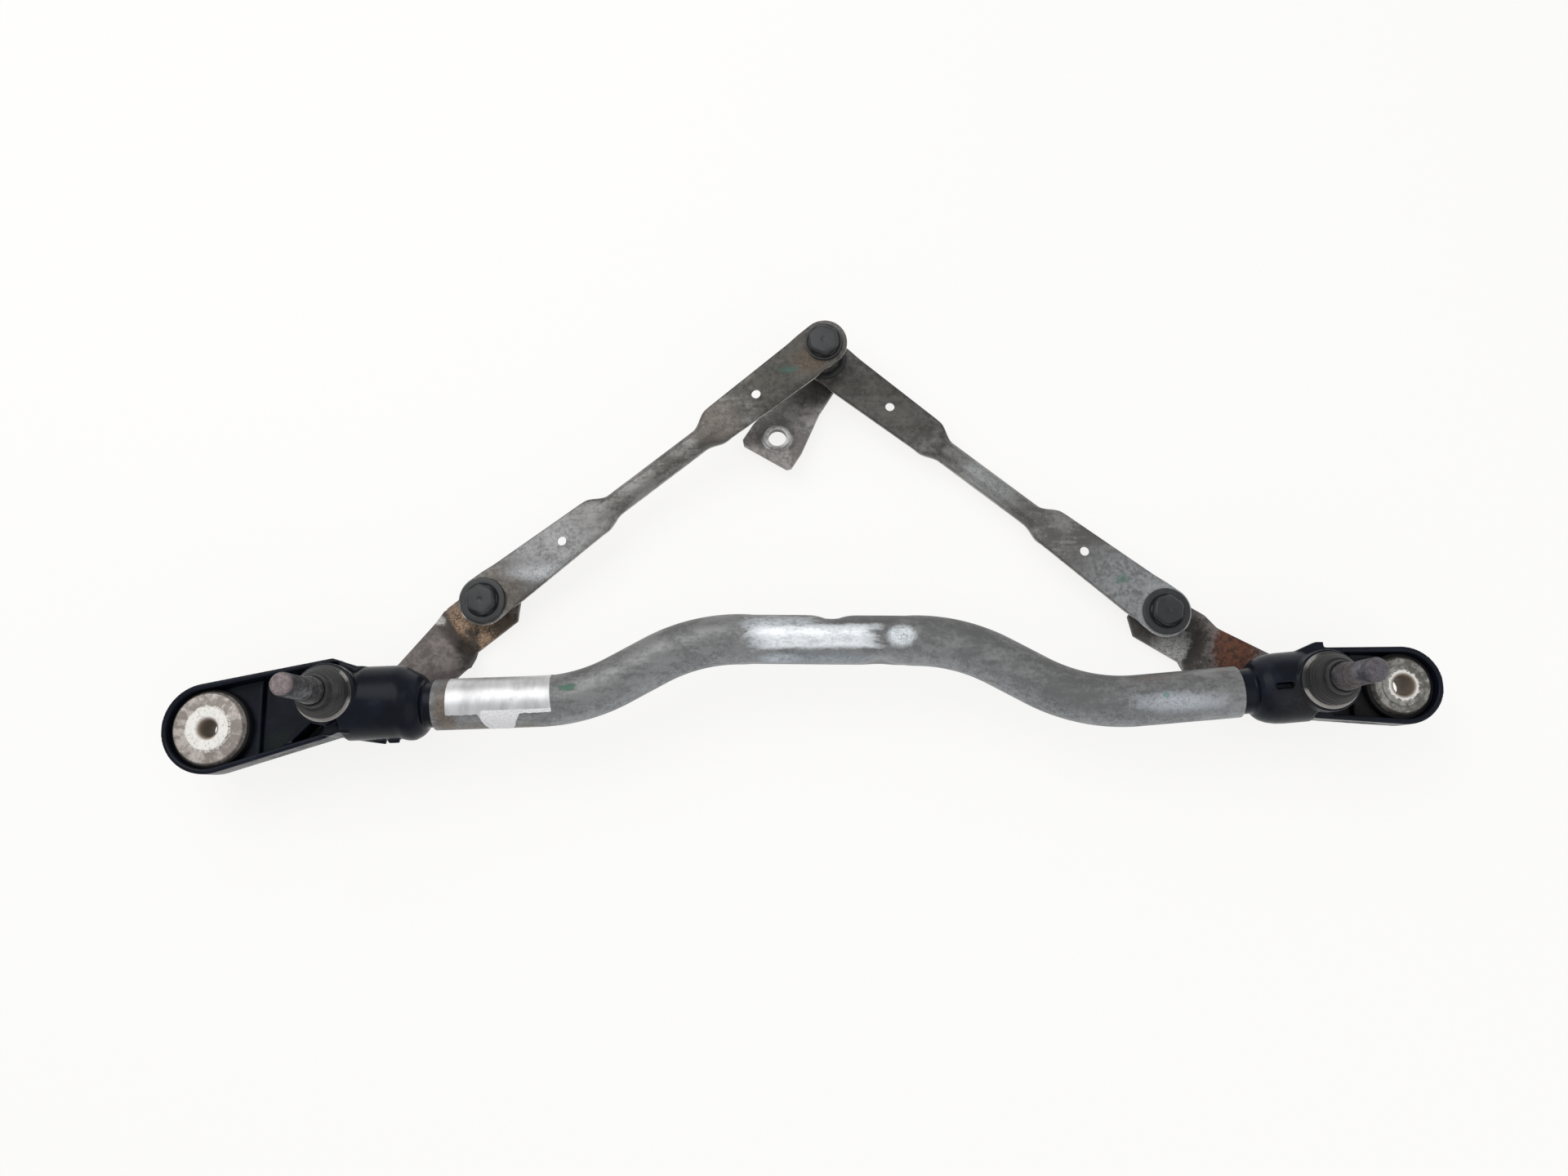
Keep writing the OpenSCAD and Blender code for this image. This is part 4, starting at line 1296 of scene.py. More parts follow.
@dataclass
class FrameTube:
    """Bent tube with its clamp flats, stake marks and foil label."""

    radius: float = 13.5 * MM
    wall: float = 1.5 * MM
    reach: float = 53 * MM
    offset: float = -6.2 * MM
    heading: float = 1.2
    runs: Tuple[float, ...] = (55 * MM, 22 * MM, 94 * MM, 22 * MM, 52.5 * MM)
    bends: Tuple[float, ...] = (26.5, -29.0, -27.5, 33.0)
    bend_radius: float = 94 * MM
    step: float = 1.5 * MM
    segments: int = 72
    flat_length: float = 86 * MM
    flat_depth: float = 0.7 * MM
    flat_in: float = 3 * MM
    flat_out: float = 4 * MM
    dents: Tuple[Tuple[RGB, float, float], ...] = (
        ((0.3315, 0.0565, 0.003), 0.0064, 0.0026),
        ((0.3563, 0.0295, 0.003), 0.0062, 0.0026),
    )
    stake_in: float = 12 * MM
    stake_turn: float = 38.0
    stake_reach: float = 2.6 * MM
    stake_depth: float = 0.9 * MM
    mark_reach: float = 3.0
    label_in: float = 8 * MM
    label_length: float = 55 * MM
    label_back: float = 104.0
    label_front: float = 30.0
    label_flap: float = 92.0
    label_lift: float = 0.12 * MM
    label_thick: float = 0.12 * MM
    label_ripple: float = 0.05 * MM
    flap_from: Point2 = (0.3, 0.4)
    flap_to: Point2 = (0.58, 0.72)
    paper_from: Point2 = (0.3, 0.36)
    paper_edge: Point2 = (18.0, 24.0)
    label_rows: int = 96
    label_columns: int = 64
    path: List[Tuple[Vector, float]] = field(default_factory=list)

    def lay_path(self) -> None:
        """Walks the tube's axis from the left housing in short steps of position and heading."""
        turn = math.radians(self.heading)
        here = Vector((*node_axis("left_spindle"), 0.0))
        here += ahead(turn) * self.reach + aside(turn) * self.offset
        self.path = [(here.copy(), turn)]
        for i, run in enumerate(self.runs):
            count = max(2, round(run / self.step))
            for _ in range(count):
                here += ahead(turn) * (run / count)
                self.path.append((here.copy(), turn))
            if i == len(self.bends):
                break
            bend = math.radians(self.bends[i])
            count = max(2, round(abs(bend) * self.bend_radius / self.step))
            chord = 2.0 * self.bend_radius * math.sin(0.5 * abs(bend) / count)
            for _ in range(count):
                here += ahead(turn + 0.5 * bend / count) * chord
                turn += bend / count
                self.path.append((here.copy(), turn))

    def stations(self) -> List[float]:
        """Distance of every step of the path from its start.

        Returns:
            The distances in metres.
        """
        out = [0.0]
        for (a, _), (b, _) in zip(self.path, self.path[1:]):
            out.append(out[-1] + (b - a).length)
        return out

    def sweep(self) -> Recipe:
        """Recipe that sweeps an outer and an inner skin along a curve.

        Returns:
            The recipe, with inputs for radius, wall and segments.
        """
        recipe = Recipe("tube_sweep", {"Radius": "Float", "Wall": "Float", "Segments": "Int"})
        g = recipe.graph
        radius = recipe.given("Radius")
        skins = []
        for size, turned in ((radius, False), (radius - recipe.given("Wall"), True)):
            around = {"Resolution": recipe.given("Segments"), "Radius": size}
            ring = g.node("GeometryNodeCurvePrimitiveCircle", {}, around)
            along = {"Curve": recipe.given("Geometry"), "Profile Curve": ring}
            skin = g.node("GeometryNodeCurveToMesh", {}, along)
            skins.append(g.node("GeometryNodeFlipFaces", {}, {"Mesh": skin}) if turned else skin)
        recipe.end(g.node("GeometryNodeJoinGeometry", {}, {"Geometry": skins}))
        return recipe

    def build_tube(self) -> bpy.types.Object:
        """Sweeps the tube, closes its ends and presses its marks in.

        Returns:
            The tube.
        """
        curve = bpy.data.curves.new("tube_axis", "CURVE")
        curve.dimensions = "3D"
        spline = curve.splines.new("POLY")
        spline.points.add(len(self.path) - 1)
        for point, (here, _) in zip(spline.points, self.path):
            point.co = (*here, 1.0)
        axis = bpy.data.objects.new("frame_tube_skin", curve)
        bpy.context.scene.collection.objects.link(axis)
        sizes = {"Radius": self.radius, "Wall": self.wall, "Segments": self.segments}
        swept = self.sweep().run(axis, {**sizes, "Finish": ZINC.material()})
        bm = bmesh.new()
        bm.from_mesh(swept.data)
        bpy.data.objects.remove(swept)
        rims = [e for e in bm.edges if e.is_boundary]
        for end in (self.path[0][0], self.path[-1][0]):
            near = [e for e in rims if (e.verts[0].co - end).length < 2.0 * self.radius]
            bmesh.ops.bridge_loops(bm, edges=near)
        self.press_marks(bm)
        return from_bmesh("frame_tube_skin", bm, 40.0)

    def marks(self) -> List[Tuple[Vector, float, float]]:
        """Lists the dents of the clamp and the stake marks near both ends.

        Returns:
            Place, reach and depth of each mark.
        """
        out = [(Vector(at), reach, depth) for at, reach, depth in self.dents]
        tilt = math.radians(self.stake_turn)
        for (here, turn), inwards in ((self.path[0], 1.0), (self.path[-1], -1.0)):
            over = aside(turn) * math.sin(tilt) + UP * math.cos(tilt)
            at = here + ahead(turn) * inwards * self.stake_in + over * self.radius
            out.append((at, self.stake_reach, self.stake_depth))
        return out

    def press_marks(self, bm: bmesh.types.BMesh) -> None:
        """Presses clamp flats, dents and stake marks into the tube.

        Args:
            bm: Mesh of the tube.
        """
        flank = bm.verts.layers.float.new("flank")
        arcs = [abs(math.radians(b)) * self.bend_radius for b in self.bends]
        clamp_run = self.runs[0] + self.runs[1] + arcs[0] + arcs[1]
        flat_from = clamp_run + 0.5 * (self.runs[2] - self.flat_length)
        flat_to = flat_from + self.flat_length
        stations = self.stations()
        marks = self.marks()
        for vert in bm.verts:
            index = min(range(len(self.path)), key=lambda i: (self.path[i][0] - vert.co).length_squared)
            middle, turn = self.path[index]
            side = aside(turn)
            across = (vert.co - middle).dot(side)
            vert[flank] = max(0.0, -across / self.radius)
            gone = stations[index]
            inset = self.flat_depth * ramp(gone, flat_from - self.flat_out, flat_from + self.flat_in)
            inset *= 1.0 - ramp(gone, flat_to - self.flat_in, flat_to + self.flat_out)
            limit = self.radius - inset
            if abs(across) > limit:
                vert.co -= side * (across - math.copysign(limit, across))
            for at, reach, depth in marks:
                far = (vert.co - at).length / reach
                if far < self.mark_reach:
                    vert.co += (middle - vert.co).normalized() * depth * math.exp(-far * far)

    def label_edge(self, share: float) -> float:
        """Angle of the label's front edge, with a torn flap of paper.

        Args:
            share: Place along the label.

        Returns:
            Angle from the top of the tube in degrees.
        """
        rag = noise.noise(Vector((23.0 * share, 3.0, 2.0)))
        flap = ramp(share, *self.flap_from)
        flap *= 1.0 - ramp(share, self.flap_to[0] + 0.03 * rag, self.flap_to[1])
        drop = (self.label_flap - self.label_front) * flap * (0.93 + 0.12 * rag)
        return self.label_front + drop + 2.5 * rag

    def build_label(self) -> bpy.types.Object:
        """Lays a thin foil with a torn front edge along the left end of the tube.

        Returns:
            The label.
        """
        stations = self.stations()
        bm = bmesh.new()
        paper = bm.verts.layers.float.new("paper")
        rows = []
        for i in range(self.label_rows + 1):
            share = i / self.label_rows
            span = self.label_edge(share) + self.label_back
            at = self.label_in + self.label_length * share
            k = max(j for j in range(len(stations) - 1) if stations[j] <= at)
            here, turn = self.path[k]
            middle = here + ahead(turn) * (at - stations[k])
            row = []
            for j in range(self.label_columns + 1):
                angle = -self.label_back + span * j / self.label_columns
                ripple = self.label_ripple * noise.noise(Vector((11.0 * share, 0.05 * angle, 5.0)))
                tilt = math.radians(angle)
                out = UP * math.cos(tilt) - aside(turn) * math.sin(tilt)
                vert = bm.verts.new(middle + out * (self.radius + self.label_lift + ripple))
                vert[paper] = ramp(angle, *self.paper_edge) * ramp(share, *self.paper_from)
                row.append(vert)
            rows.append(row)
        join_rows(bm, rows)
        sheet = facing_up(from_bmesh("foil_label_skin", bm))
        thick = sheet.modifiers.new("thick", "SOLIDIFY")
        thick.thickness = self.label_thick
        thick.offset = 1.0
        return settle(sheet)

    def build(self) -> None:
        """Builds and seats the tube and its label."""
        self.lay_path()
        stand_for(self.build_tube(), "frame_tube", ZINC)
        stand_for(self.build_label(), "foil_label", FOIL)


@dataclass(frozen=True)
class BushSizes:
    """Sizes of a flanged fixing bush that differ from side to side."""

    flange_r: float
    bore_r: float
    mouth: float


BUSH_SIZES = {
    Side.LEFT: BushSizes(20.0 * MM, 4.4 * MM, 2.2 * MM),
    Side.RIGHT: BushSizes(15.7 * MM, 5.2 * MM, 0.6 * MM),
}


@dataclass
class SidedUnit:
    """Sub-assembly that comes once at each end."""

    side: Side

    def name(self, piece: str) -> str:
        """Node name of a piece on this side."""
        return f"{self.side.value}_{piece}"


@dataclass
class SpindleHousing(SidedUnit):
    """Moulded housing with its grommet, bush, bearings, washers and seal cap."""

    voxel: float = 0.62 * MM
    smooth: int = 5
    peak: Point2 = (65.6 * MM, 36.1 * MM)
    crook: Point2 = (78.8 * MM, 31.9 * MM)
    slope_end: float = 86.0 * MM
    web: Tuple[Point2, ...] = in_metres(
        (66.0, 35.6), (78.8, 31.4), (84.0, 29.4), (84.0, 24.0), (82.0, 24.0), (70.0, 32.0)
    )
    web_low: float = -10.0 * MM
    web_high: float = 6.0 * MM
    cheek: Tuple[Point2, ...] = in_metres((64.6, -4.8), (78.0, -6.4), (78.0, 1.4), (66.4, 1.4))
    cheek_high: float = 12.5 * MM
    ledge: Tuple[Point2, ...] = in_metres(
        (64.5, -4.9), (71.0, -5.8), (77.0, -9.0), (93.5, -11.4), (93.5, -6.0), (66.0, -1.0)
    )
    ledge_low: float = -4.2 * MM
    ledge_high: float = -1.4 * MM
    barrel_back: float = 2.2 * MM
    barrel_sides: Point2 = (2.0 * MM, 14.0 * MM)
    front_from: Point2 = (68.0 * MM, 73.5 * MM)
    rear_from: Point2 = (77.0 * MM, 84.0 * MM)
    barrel_to: Point2 = (101.0 * MM, 110.0 * MM)
    sleeve_r: float = 8.0 * MM
    flange_t: float = 3.0 * MM
    seat_w: float = 5.0 * MM
    seat_h: float = 0.8 * MM
    turned_round: float = 0.6 * MM
    cap_round: float = 0.45 * MM
    grommet_edge: float = 0.8 * MM
    washer_edge: float = 0.25 * MM
    cap_profile: Tuple[Point2, ...] = in_metres(
        (10.8, 0.0), (13.1, 0.0), (13.2, 1.6), (12.7, 2.1), (12.7, 2.7), (13.2, 3.2), (13.15, 4.8),
        (12.2, 6.0), (12.1, 6.7), (11.5, 7.2), (11.3, 8.4), (10.6, 9.0), (10.3, 9.9), (9.0, 10.0),
        (8.7, 11.4), (8.75, 13.2), (8.3, 14.9), (7.15, 15.0), (7.1, 3.0), (10.8, 3.0),
    )

    def moulded(self) -> bpy.types.Object:
        """Copies the housing with the small fillets of a moulding.

        The left one also gets the web at its peaked corner, the cheek and the ledge, which its solid lacks.

        Returns:
            The housing.
        """
        bm = solid_copy(self.name("housing"))
        if self.side is Side.LEFT:
            add_prism(bm, self.web, self.web_low, self.web_high)
            add_prism(bm, self.cheek, self.web_low, self.cheek_high)
            add_prism(bm, self.ledge, self.ledge_low, self.ledge_high)
        raw = from_bmesh(self.name("housing_moulding"), bm)
        skin = raw.modifiers.new("skin", "REMESH")
        skin.mode = "VOXEL"
        skin.voxel_size = self.voxel
        ease = raw.modifiers.new("ease", "SMOOTH")
        ease.factor = 0.5
        ease.iterations = self.smooth
        made = settle(raw, 60.0)
        if self.side is Side.LEFT:
            self.set_outline(made.data)
        return made

    def set_outline(self, mesh: bpy.types.Mesh) -> None:
        """Sets the left barrel a little to the back and trims the lug's root to a straight slope.

        Args:
            mesh: Mesh of the left housing.
        """
        slope = (self.crook[1] - self.peak[1]) / (self.crook[0] - self.peak[0])
        for vert in mesh.vertices:
            x, y, _ = vert.co
            rear = ramp(y, *self.barrel_sides)
            start, end = (a + (b - a) * rear for a, b in zip(self.front_from, self.rear_from))
            y += self.barrel_back * ramp(x, start, end) * (1.0 - ramp(x, *self.barrel_to))
            if self.peak[0] < x < self.slope_end:
                y = min(y, self.peak[1] + slope * (min(x, self.crook[0]) - self.peak[0]))
            vert.co.y = y

    def bush(self) -> bpy.types.Object:
        """Turns the flanged bush with its raised seat and bore mouth.

        Returns:
            The bush.
        """
        node = self.name("bush")
        low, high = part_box(node)
        sizes = BUSH_SIZES[self.side]
        top = high.z - self.seat_h
        mouth_r = sizes.bore_r + sizes.mouth
        profile = [
            (sizes.bore_r, low.z), (self.sleeve_r, low.z), (self.sleeve_r, top - self.flange_t),
            (sizes.flange_r, top - self.flange_t), (sizes.flange_r - 0.5 * self.flange_t, top),
            (mouth_r + self.seat_w, top), (mouth_r + self.seat_w, high.z), (mouth_r, high.z),
            (sizes.bore_r, high.z - sizes.mouth),
        ]
        outline = rounded(profile + [profile[0]], self.turned_round, 3)[:-1]
        return lathe(f"{node}_turned", outline, upright(node_axis(node)), closed=True)

    def seal_cap(self) -> bpy.types.Object:
        """Turns the seal cap with its stepped rings.

        Returns:
            The cap.
        """
        node = self.name("seal_cap")
        low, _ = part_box(node)
        outline = rounded(self.cap_profile + self.cap_profile[:1], self.cap_round, 3)[:-1]
        return lathe(f"{node}_turned", outline, upright(node_axis(node), low.z), closed=True)

    def build(self) -> None:
        """Builds and seats every piece of this side."""
        stand_for(self.moulded(), self.name("housing"), HOUSING)
        stand_for(self.seal_cap(), self.name("seal_cap"), CAP)
        stand_for(self.bush(), self.name("bush"), BUSH[self.side])
        eased = (
            ("grommet", GROMMET, self.grommet_edge),
            ("top_washer", NYLON, self.washer_edge),
            ("thrust_washer", NYLON, self.washer_edge),
        )
        for piece, finish, width in eased:
            node = self.name(piece)
            stand_for(softened(node, f"{node}_eased", width, 3), node, finish)
        for piece in ("lower_bearing", "upper_bearing"):
            keep(self.name(piece), BRONZE)


@dataclass
class LeverUnit(SidedUnit):
    """Spindle with its circlip, joggled lever and ball stud."""

    shaft_r: float = 7.0 * MM
    thread_r: float = 6.0 * MM
    thread_length: float = 24.0 * MM
    cone_length: float = 10.0 * MM
    foot_r: float = 6.0 * MM
    rivet_r: float = 8.5 * MM
    rivet_h: float = 2.5 * MM
    rivet_cut: float = 1.2 * MM
    rivet_hollow: float = 0.2 * MM
    turned_round: float = 0.5 * MM
    lever_t: float = 4.0 * MM
    tip: float = 1.4 * MM
    pitch: float = 1.5 * MM
    thread_depth: float = 0.75 * MM
    thread_steps: int = 10
    around: int = 72
    thread_wear: float = 0.12 * MM
    slack: float = 0.05 * MM
    ridges: int = 40
    ridge: float = 0.5 * MM
    ridge_share: float = 0.86
    bend_round: float = 2.6 * MM
    edge_round: float = 0.4 * MM

    def spindle(self) -> bpy.types.Object:
        """Turns the spindle with a cut thread.

        Returns:
            The spindle.
        """
        node = self.name("spindle")
        low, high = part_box(node)
        thread_from = high.z - self.thread_length
        cone_from = thread_from - self.cone_length
        foot = low.z + self.rivet_h
        outline = rounded([
            (0.0, low.z + self.rivet_hollow), (self.rivet_r - self.rivet_cut, low.z),
            (self.rivet_r, low.z + self.rivet_cut), (self.rivet_r, foot), (self.foot_r, foot),
            (self.foot_r, foot + self.lever_t), (self.shaft_r, foot + self.lever_t),
            (self.shaft_r, cone_from), (self.thread_r - 2.0 * self.slack, thread_from),
        ], self.turned_round, 3)
        steps = round(self.thread_length / (self.pitch / self.thread_steps))
        rises = [self.thread_length * (i + 1) / steps for i in range(steps)]
        outline += [(self.thread_r, thread_from + rise) for rise in rises]
        last = outline[-1][1]
        outline += [(self.thread_r - self.tip, last), (0.5 * self.thread_r, last + self.slack), (0.0, last)]

        def cut(angle: float, radius: float, height: float) -> Point2:
            """Cuts a fading screw thread and its end chamfer."""
            if height <= thread_from or radius < self.thread_r - 0.01 * MM:
                return radius, min(height, high.z)
            phase = (height / self.pitch - angle / (2.0 * math.pi)) % 1.0
            groove = abs(2.0 * phase - 1.0)
            fade = ramp(height, thread_from, thread_from + 1.5 * self.pitch)
            chamfer = max(0.0, height - (high.z - self.tip))
            spot = Vector((4.0 * math.cos(angle), 4.0 * math.sin(angle), 400.0 * height))
            worn = self.thread_wear * noise.noise(spot) - self.slack
            deep = min(radius - self.thread_depth * groove * fade + worn, self.thread_r)
            return min(deep, self.thread_r - chamfer), height

        return lathe(f"{node}_turned", outline, upright(node_axis(node)), self.around, cut)

    def ridge_ring(self) -> Recipe:
        """Recipe that sets ridges round a cone.

        Returns:
            The recipe, with inputs for count, radius, ridge size and tilt.
        """
        sockets = {"Count": "Int", "Radius": "Float", "Ridge": "Vector", "Tilt": "Float"}
        recipe = Recipe("knurl_ridges", sockets)
        g = recipe.graph
        count = recipe.given("Count")
        ring = g.node("GeometryNodeMeshCircle", {}, {"Vertices": count, "Radius": recipe.given("Radius")})
        bar = g.node("GeometryNodeMeshCube", {}, {"Size": recipe.given("Ridge")})
        on_edge = {"Geometry": bar, "Rotation": (0.0, 0.0, math.radians(45.0))}
        ridge = g.node("GeometryNodeTransform", {}, on_edge)
        turn = g.node("GeometryNodeInputIndex") / count * (2.0 * math.pi)
        lean = g.node("ShaderNodeCombineXYZ", {}, {"Y": recipe.given("Tilt"), "Z": turn})
        placed = {"Points": ring, "Instance": ridge, "Rotation": lean}
        recipe.end(g.node("GeometryNodeInstanceOnPoints", {}, placed))
        return recipe

    def knurl(self) -> bpy.types.Object:
        """Sets the ridges of the knurled cone.

        Returns:
            The ridges, in place.
        """
        node = self.name("spindle")
        _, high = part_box(node)
        seat = link_in(self.name("spindle_knurl"), bpy.data.meshes.new("knurl_seat"))
        made = self.ridge_ring().run(seat, {
            "Count": self.ridges,
            "Radius": 0.5 * (self.shaft_r + self.thread_r) - 0.2 * self.ridge,
            "Ridge": (self.ridge, self.ridge, self.ridge_share * self.cone_length),
            "Tilt": -math.atan2(self.shaft_r - self.thread_r, self.cone_length),
            "Finish": SPINDLE[self.side].material(),
        })
        middle = high.z - self.thread_length - 0.5 * self.cone_length
        made.data.transform(upright(node_axis(node), middle))
        return made

    def lever(self) -> bpy.types.Object:
        """Copies the lever with bend radii at its joggle and broken edges.

        Returns:
            The lever.
        """
        node = self.name("lever")
        bm = solid_copy(node)
        bends = []
        for edge in sharp_edges(bm, 20.0):
            level = sorted(abs(f.normal.z) for f in edge.link_faces)
            if level[1] > 0.99 and 0.3 < level[0] < 0.95:
                bends.append(edge)
        round_edges(bm, bends, self.bend_round, 5)
        round_edges(bm, sharp_edges(bm, 35.0), self.edge_round, 2)
        return from_bmesh(f"{node}_plate", bm)

    def build(self) -> None:
        """Builds and seats every piece of this lever unit."""
        stand_for(self.spindle(), self.name("spindle"), SPINDLE[self.side])
        knurl = self.knurl()
        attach(knurl, BODY_OF[self.name("spindle")])
        SLOT_OF[self.name("spindle")]
        LOG.info("%s rides on the spindle", knurl.name)
        stand_for(self.lever(), self.name("lever"), LEVER)
        keep(self.name("circlip"), CLIP)
        keep(self.name("ball_stud"), STUD)


@dataclass
class LinkUnit(SidedUnit):
    """Pressed link with its ball sockets."""

    length: float = 239.5 * MM
    sheet: float = 1.6 * MM
    top: float = 2.2 * MM
    wide_lever: float = 14.0 * MM
    wide_crank: float = 13.0 * MM
    wide_shoulder: float = 11.0 * MM
    wide_middle: float = 6.3 * MM
    shoulder_lever: float = 78.0 * MM
    shoulder_crank: float = 76.0 * MM
    shoulder_run: float = 13.0 * MM
    shoulder_in: float = 4.0 * MM
    lip: float = 3.1 * MM
    lip_from: Point2 = (8.0 * MM, 18.0 * MM)
    channel: float = 8.6 * MM
    lip_power: float = 0.3
    channel_power: float = 0.62
    bead: float = 0.8 * MM
    bead_half: float = 5.0 * MM
    bead_side: float = 2.2 * MM
    bead_from: Point2 = (26.0 * MM, 42.0 * MM)
    hole_r: float = 2.6 * MM
    holes: Tuple[float, float] = (55.0 * MM, 191.5 * MM)
    end_steps: int = 24
    run_steps: int = 170
    columns: int = 44
    flange_r: float = 12.9 * MM
    crank_flange_r: float = 10.4 * MM
    ball_pitch: float = 18.0 * MM
    ball_r: float = 6.8 * MM
    mouth: Point2 = (5.77 * MM, -3.6 * MM)
    barrel_r: float = 9.3 * MM
    flange_low: float = 2.2 * MM
    flange_high: float = 4.2 * MM
    cap_profile: Tuple[Point2, ...] = in_metres(
        (9.6, 4.3), (8.5, 3.7), (8.75, 4.6), (8.6, 7.6), (7.4, 8.8), (1.6, 8.8), (0.8, 8.5), (0.0, 8.45)
    )
    cap_low: float = 4.35 * MM
    cap_radii: Point2 = (2.0 * MM, 9.0 * MM)
    cap_flat: float = 0.032
    cap_round: float = 0.7 * MM
    ring_round: float = 0.3 * MM

    def place(self) -> Matrix:
        """Placement of the link: origin at its lever ball, X to its crank ball.

        Returns:
            The placement.
        """
        start = Vector(JOINT[self.name("link_ball")]["pos_m"])
        crank = JOINT["crank_turn"]
        end = Vector(crank["pos_m"])
        if self.side is Side.LEFT:
            end += Vector(crank["axis"]) * self.ball_pitch
        along = (end - start).normalized()
        across = UP.cross(along).normalized()
        turned = Matrix((along, across, along.cross(across))).transposed()
        return Matrix.Translation(start) @ turned.to_4x4()

    def half_width(self, x: float) -> float:
        """Half width of the outline.

        Args:
            x: Distance from the lever ball.

        Returns:
            The half width.
        """
        far = self.length - x
        if x < 0.0:
            return math.sqrt(max(0.0, self.wide_lever ** 2 - x * x))
        if far < 0.0:
            return math.sqrt(max(0.0, self.wide_crank ** 2 - far * far))
        near = x < 0.5 * self.length
        reach = x if near else far
        end = self.wide_lever if near else self.wide_crank
        start = self.shoulder_lever if near else self.shoulder_crank
        wide = end + (self.wide_shoulder - end) * min(1.0, reach / start)
        return wide + (self.wide_middle - wide) * ramp(reach, start, start + self.shoulder_run)

    def section(self, x: float, share: float) -> Tuple[float, float]:
        """One point of the pressed section.

        Args:
            x: Distance from the lever ball.
            share: Place across, from -1 to 1.

        Returns:
            Distance from the middle line and height.
        """
        width = self.half_width(x)
        end = min(x, self.length - x)
        start = self.shoulder_lever if x < 0.5 * self.length else self.shoulder_crank
        middle = ramp(end, start - self.shoulder_in, start + self.shoulder_run)
        drop = self.lip * ramp(end, *self.lip_from) * (1.0 - middle) + self.channel * middle
        power = self.lip_power + (self.channel_power - self.lip_power) * middle
        angle = 0.5 * math.pi * share
        across = width * math.copysign(abs(math.sin(angle)) ** power, share)
        height = self.top - drop * (1.0 - abs(math.cos(angle)) ** power)
        ridge = 1.0 - ramp(abs(across), self.bead_half - self.bead_side, self.bead_half)
        return across, height + self.bead * ridge * ramp(end, *self.bead_from)

    def stops(self) -> List[float]:
        """Distances along the link at which its section is set, closer at the round ends.

        Returns:
            The distances from the lever ball.
        """
        quarter = [0.5 * math.pi * i / self.end_steps for i in range(self.end_steps + 1)]
        out = [-self.wide_lever * math.cos(angle) for angle in quarter]
        out += [self.length * i / self.run_steps for i in range(1, self.run_steps)]
        return out + [self.length + self.wide_crank * math.sin(angle) for angle in quarter]

    def pressed_sheet(self) -> bpy.types.Object:
        """Presses the link's skin, without thickness and without holes.

        Returns:
            The skin, with its lever ball at the origin.
        """
        bm = bmesh.new()
        rim = bm.verts.layers.float.new("rim")
        rows = []
        for x in self.stops():
            row = []
            for j in range(self.columns + 1):
                share = 2.0 * j / self.columns - 1.0
                vert = bm.verts.new((x, *self.section(x, share)))
                vert[rim] = max(abs(share), ramp(-x, 0.8 * self.wide_lever, self.wide_lever))
                row.append(vert)
            rows.append(row)
        join_rows(bm, rows)
        bmesh.ops.remove_doubles(bm, verts=bm.verts, dist=2e-5)
        bmesh.ops.dissolve_degenerate(bm, edges=bm.edges, dist=1e-6)
        return facing_up(from_bmesh(self.name("link_strip"), bm))

    def drills(self) -> bpy.types.Object:
        """Makes one pin for each tooling hole.

        Returns:
            The pins.
        """
        bm = bmesh.new()
        for x in self.holes:
            bmesh.ops.create_cone(
                bm, cap_ends=True, segments=40, radius1=self.hole_r, radius2=self.hole_r,
                depth=6.0 * self.sheet + 2.0 * self.channel, matrix=Matrix.Translation((x, 0.0, 0.0)),
            )
        return from_bmesh("drill", bm)

    def strip(self) -> bpy.types.Object:
        """Gives the pressed skin its sheet thickness and drills it.

        Returns:
            The link.
        """
        place = self.place()
        strip = self.pressed_sheet()
        thick = strip.modifiers.new("thick", "SOLIDIFY")
        thick.thickness = self.sheet
        thick.offset = -1.0
        thick.use_even_offset = False
        drill = self.drills()
        cut = strip.modifiers.new("drill", "BOOLEAN")
        cut.object = drill
        cut.operation = "DIFFERENCE"
        cut.solver = "EXACT"
        made = settle(strip, 38.0)
        bpy.data.objects.remove(drill)
        made.data.transform(place)
        return made

    def socket(self, piece: str, at: float, flange: float) -> bpy.types.Object:
        """Turns a socket with a softly six-sided cap.

        Args:
            piece: Name of the socket.
            at: Distance of its ball from the lever ball.
            flange: Radius of its flange.

        Returns:
            The socket.
        """
        low = self.mouth[1]
        angles = [math.radians(90.0 - 122.0 * i / 20) for i in range(21)]
        cavity = [(self.ball_r * math.cos(a), self.ball_r * math.sin(a)) for a in angles]
        cavity = [(max(0.0, r), z) for r, z in cavity if z > low]
        corners = [
            self.mouth, (self.barrel_r, low), (self.barrel_r, self.flange_low), (flange, self.flange_low),
            (flange, self.flange_high), *self.cap_profile,
        ]

        def six(angle: float, radius: float, height: float) -> Point2:
            """Presses six soft flats into the cap."""
            if height < self.cap_low or not self.cap_radii[0] <= radius <= self.cap_radii[1]:
                return radius, height
            return radius * (1.0 - self.cap_flat + self.cap_flat * math.cos(6.0 * angle)), height

        place = self.place() @ Matrix.Translation((at, 0.0, 0.0))
        return lathe(f"{piece}_turned", cavity + rounded(corners, self.cap_round, 4), place, warp=six)

    def build(self) -> None:
        """Builds and seats the link and what is pressed into it."""
        stand_for(self.strip(), self.name("link"), LINK[self.side])
        lever_socket = self.name("link_lever_socket")
        stand_for(self.socket(lever_socket, 0.0, self.flange_r), lever_socket, SOCKET)
        if self.side is Side.LEFT:
            crank_socket = self.name("link_crank_socket")
            stand_for(self.socket(crank_socket, self.length, self.crank_flange_r), crank_socket, SOCKET)
        else:
            ring = self.name("link_crank_ring")
            stand_for(softened(ring, f"{ring}_eased", self.ring_round, 2), ring, SOCKET)


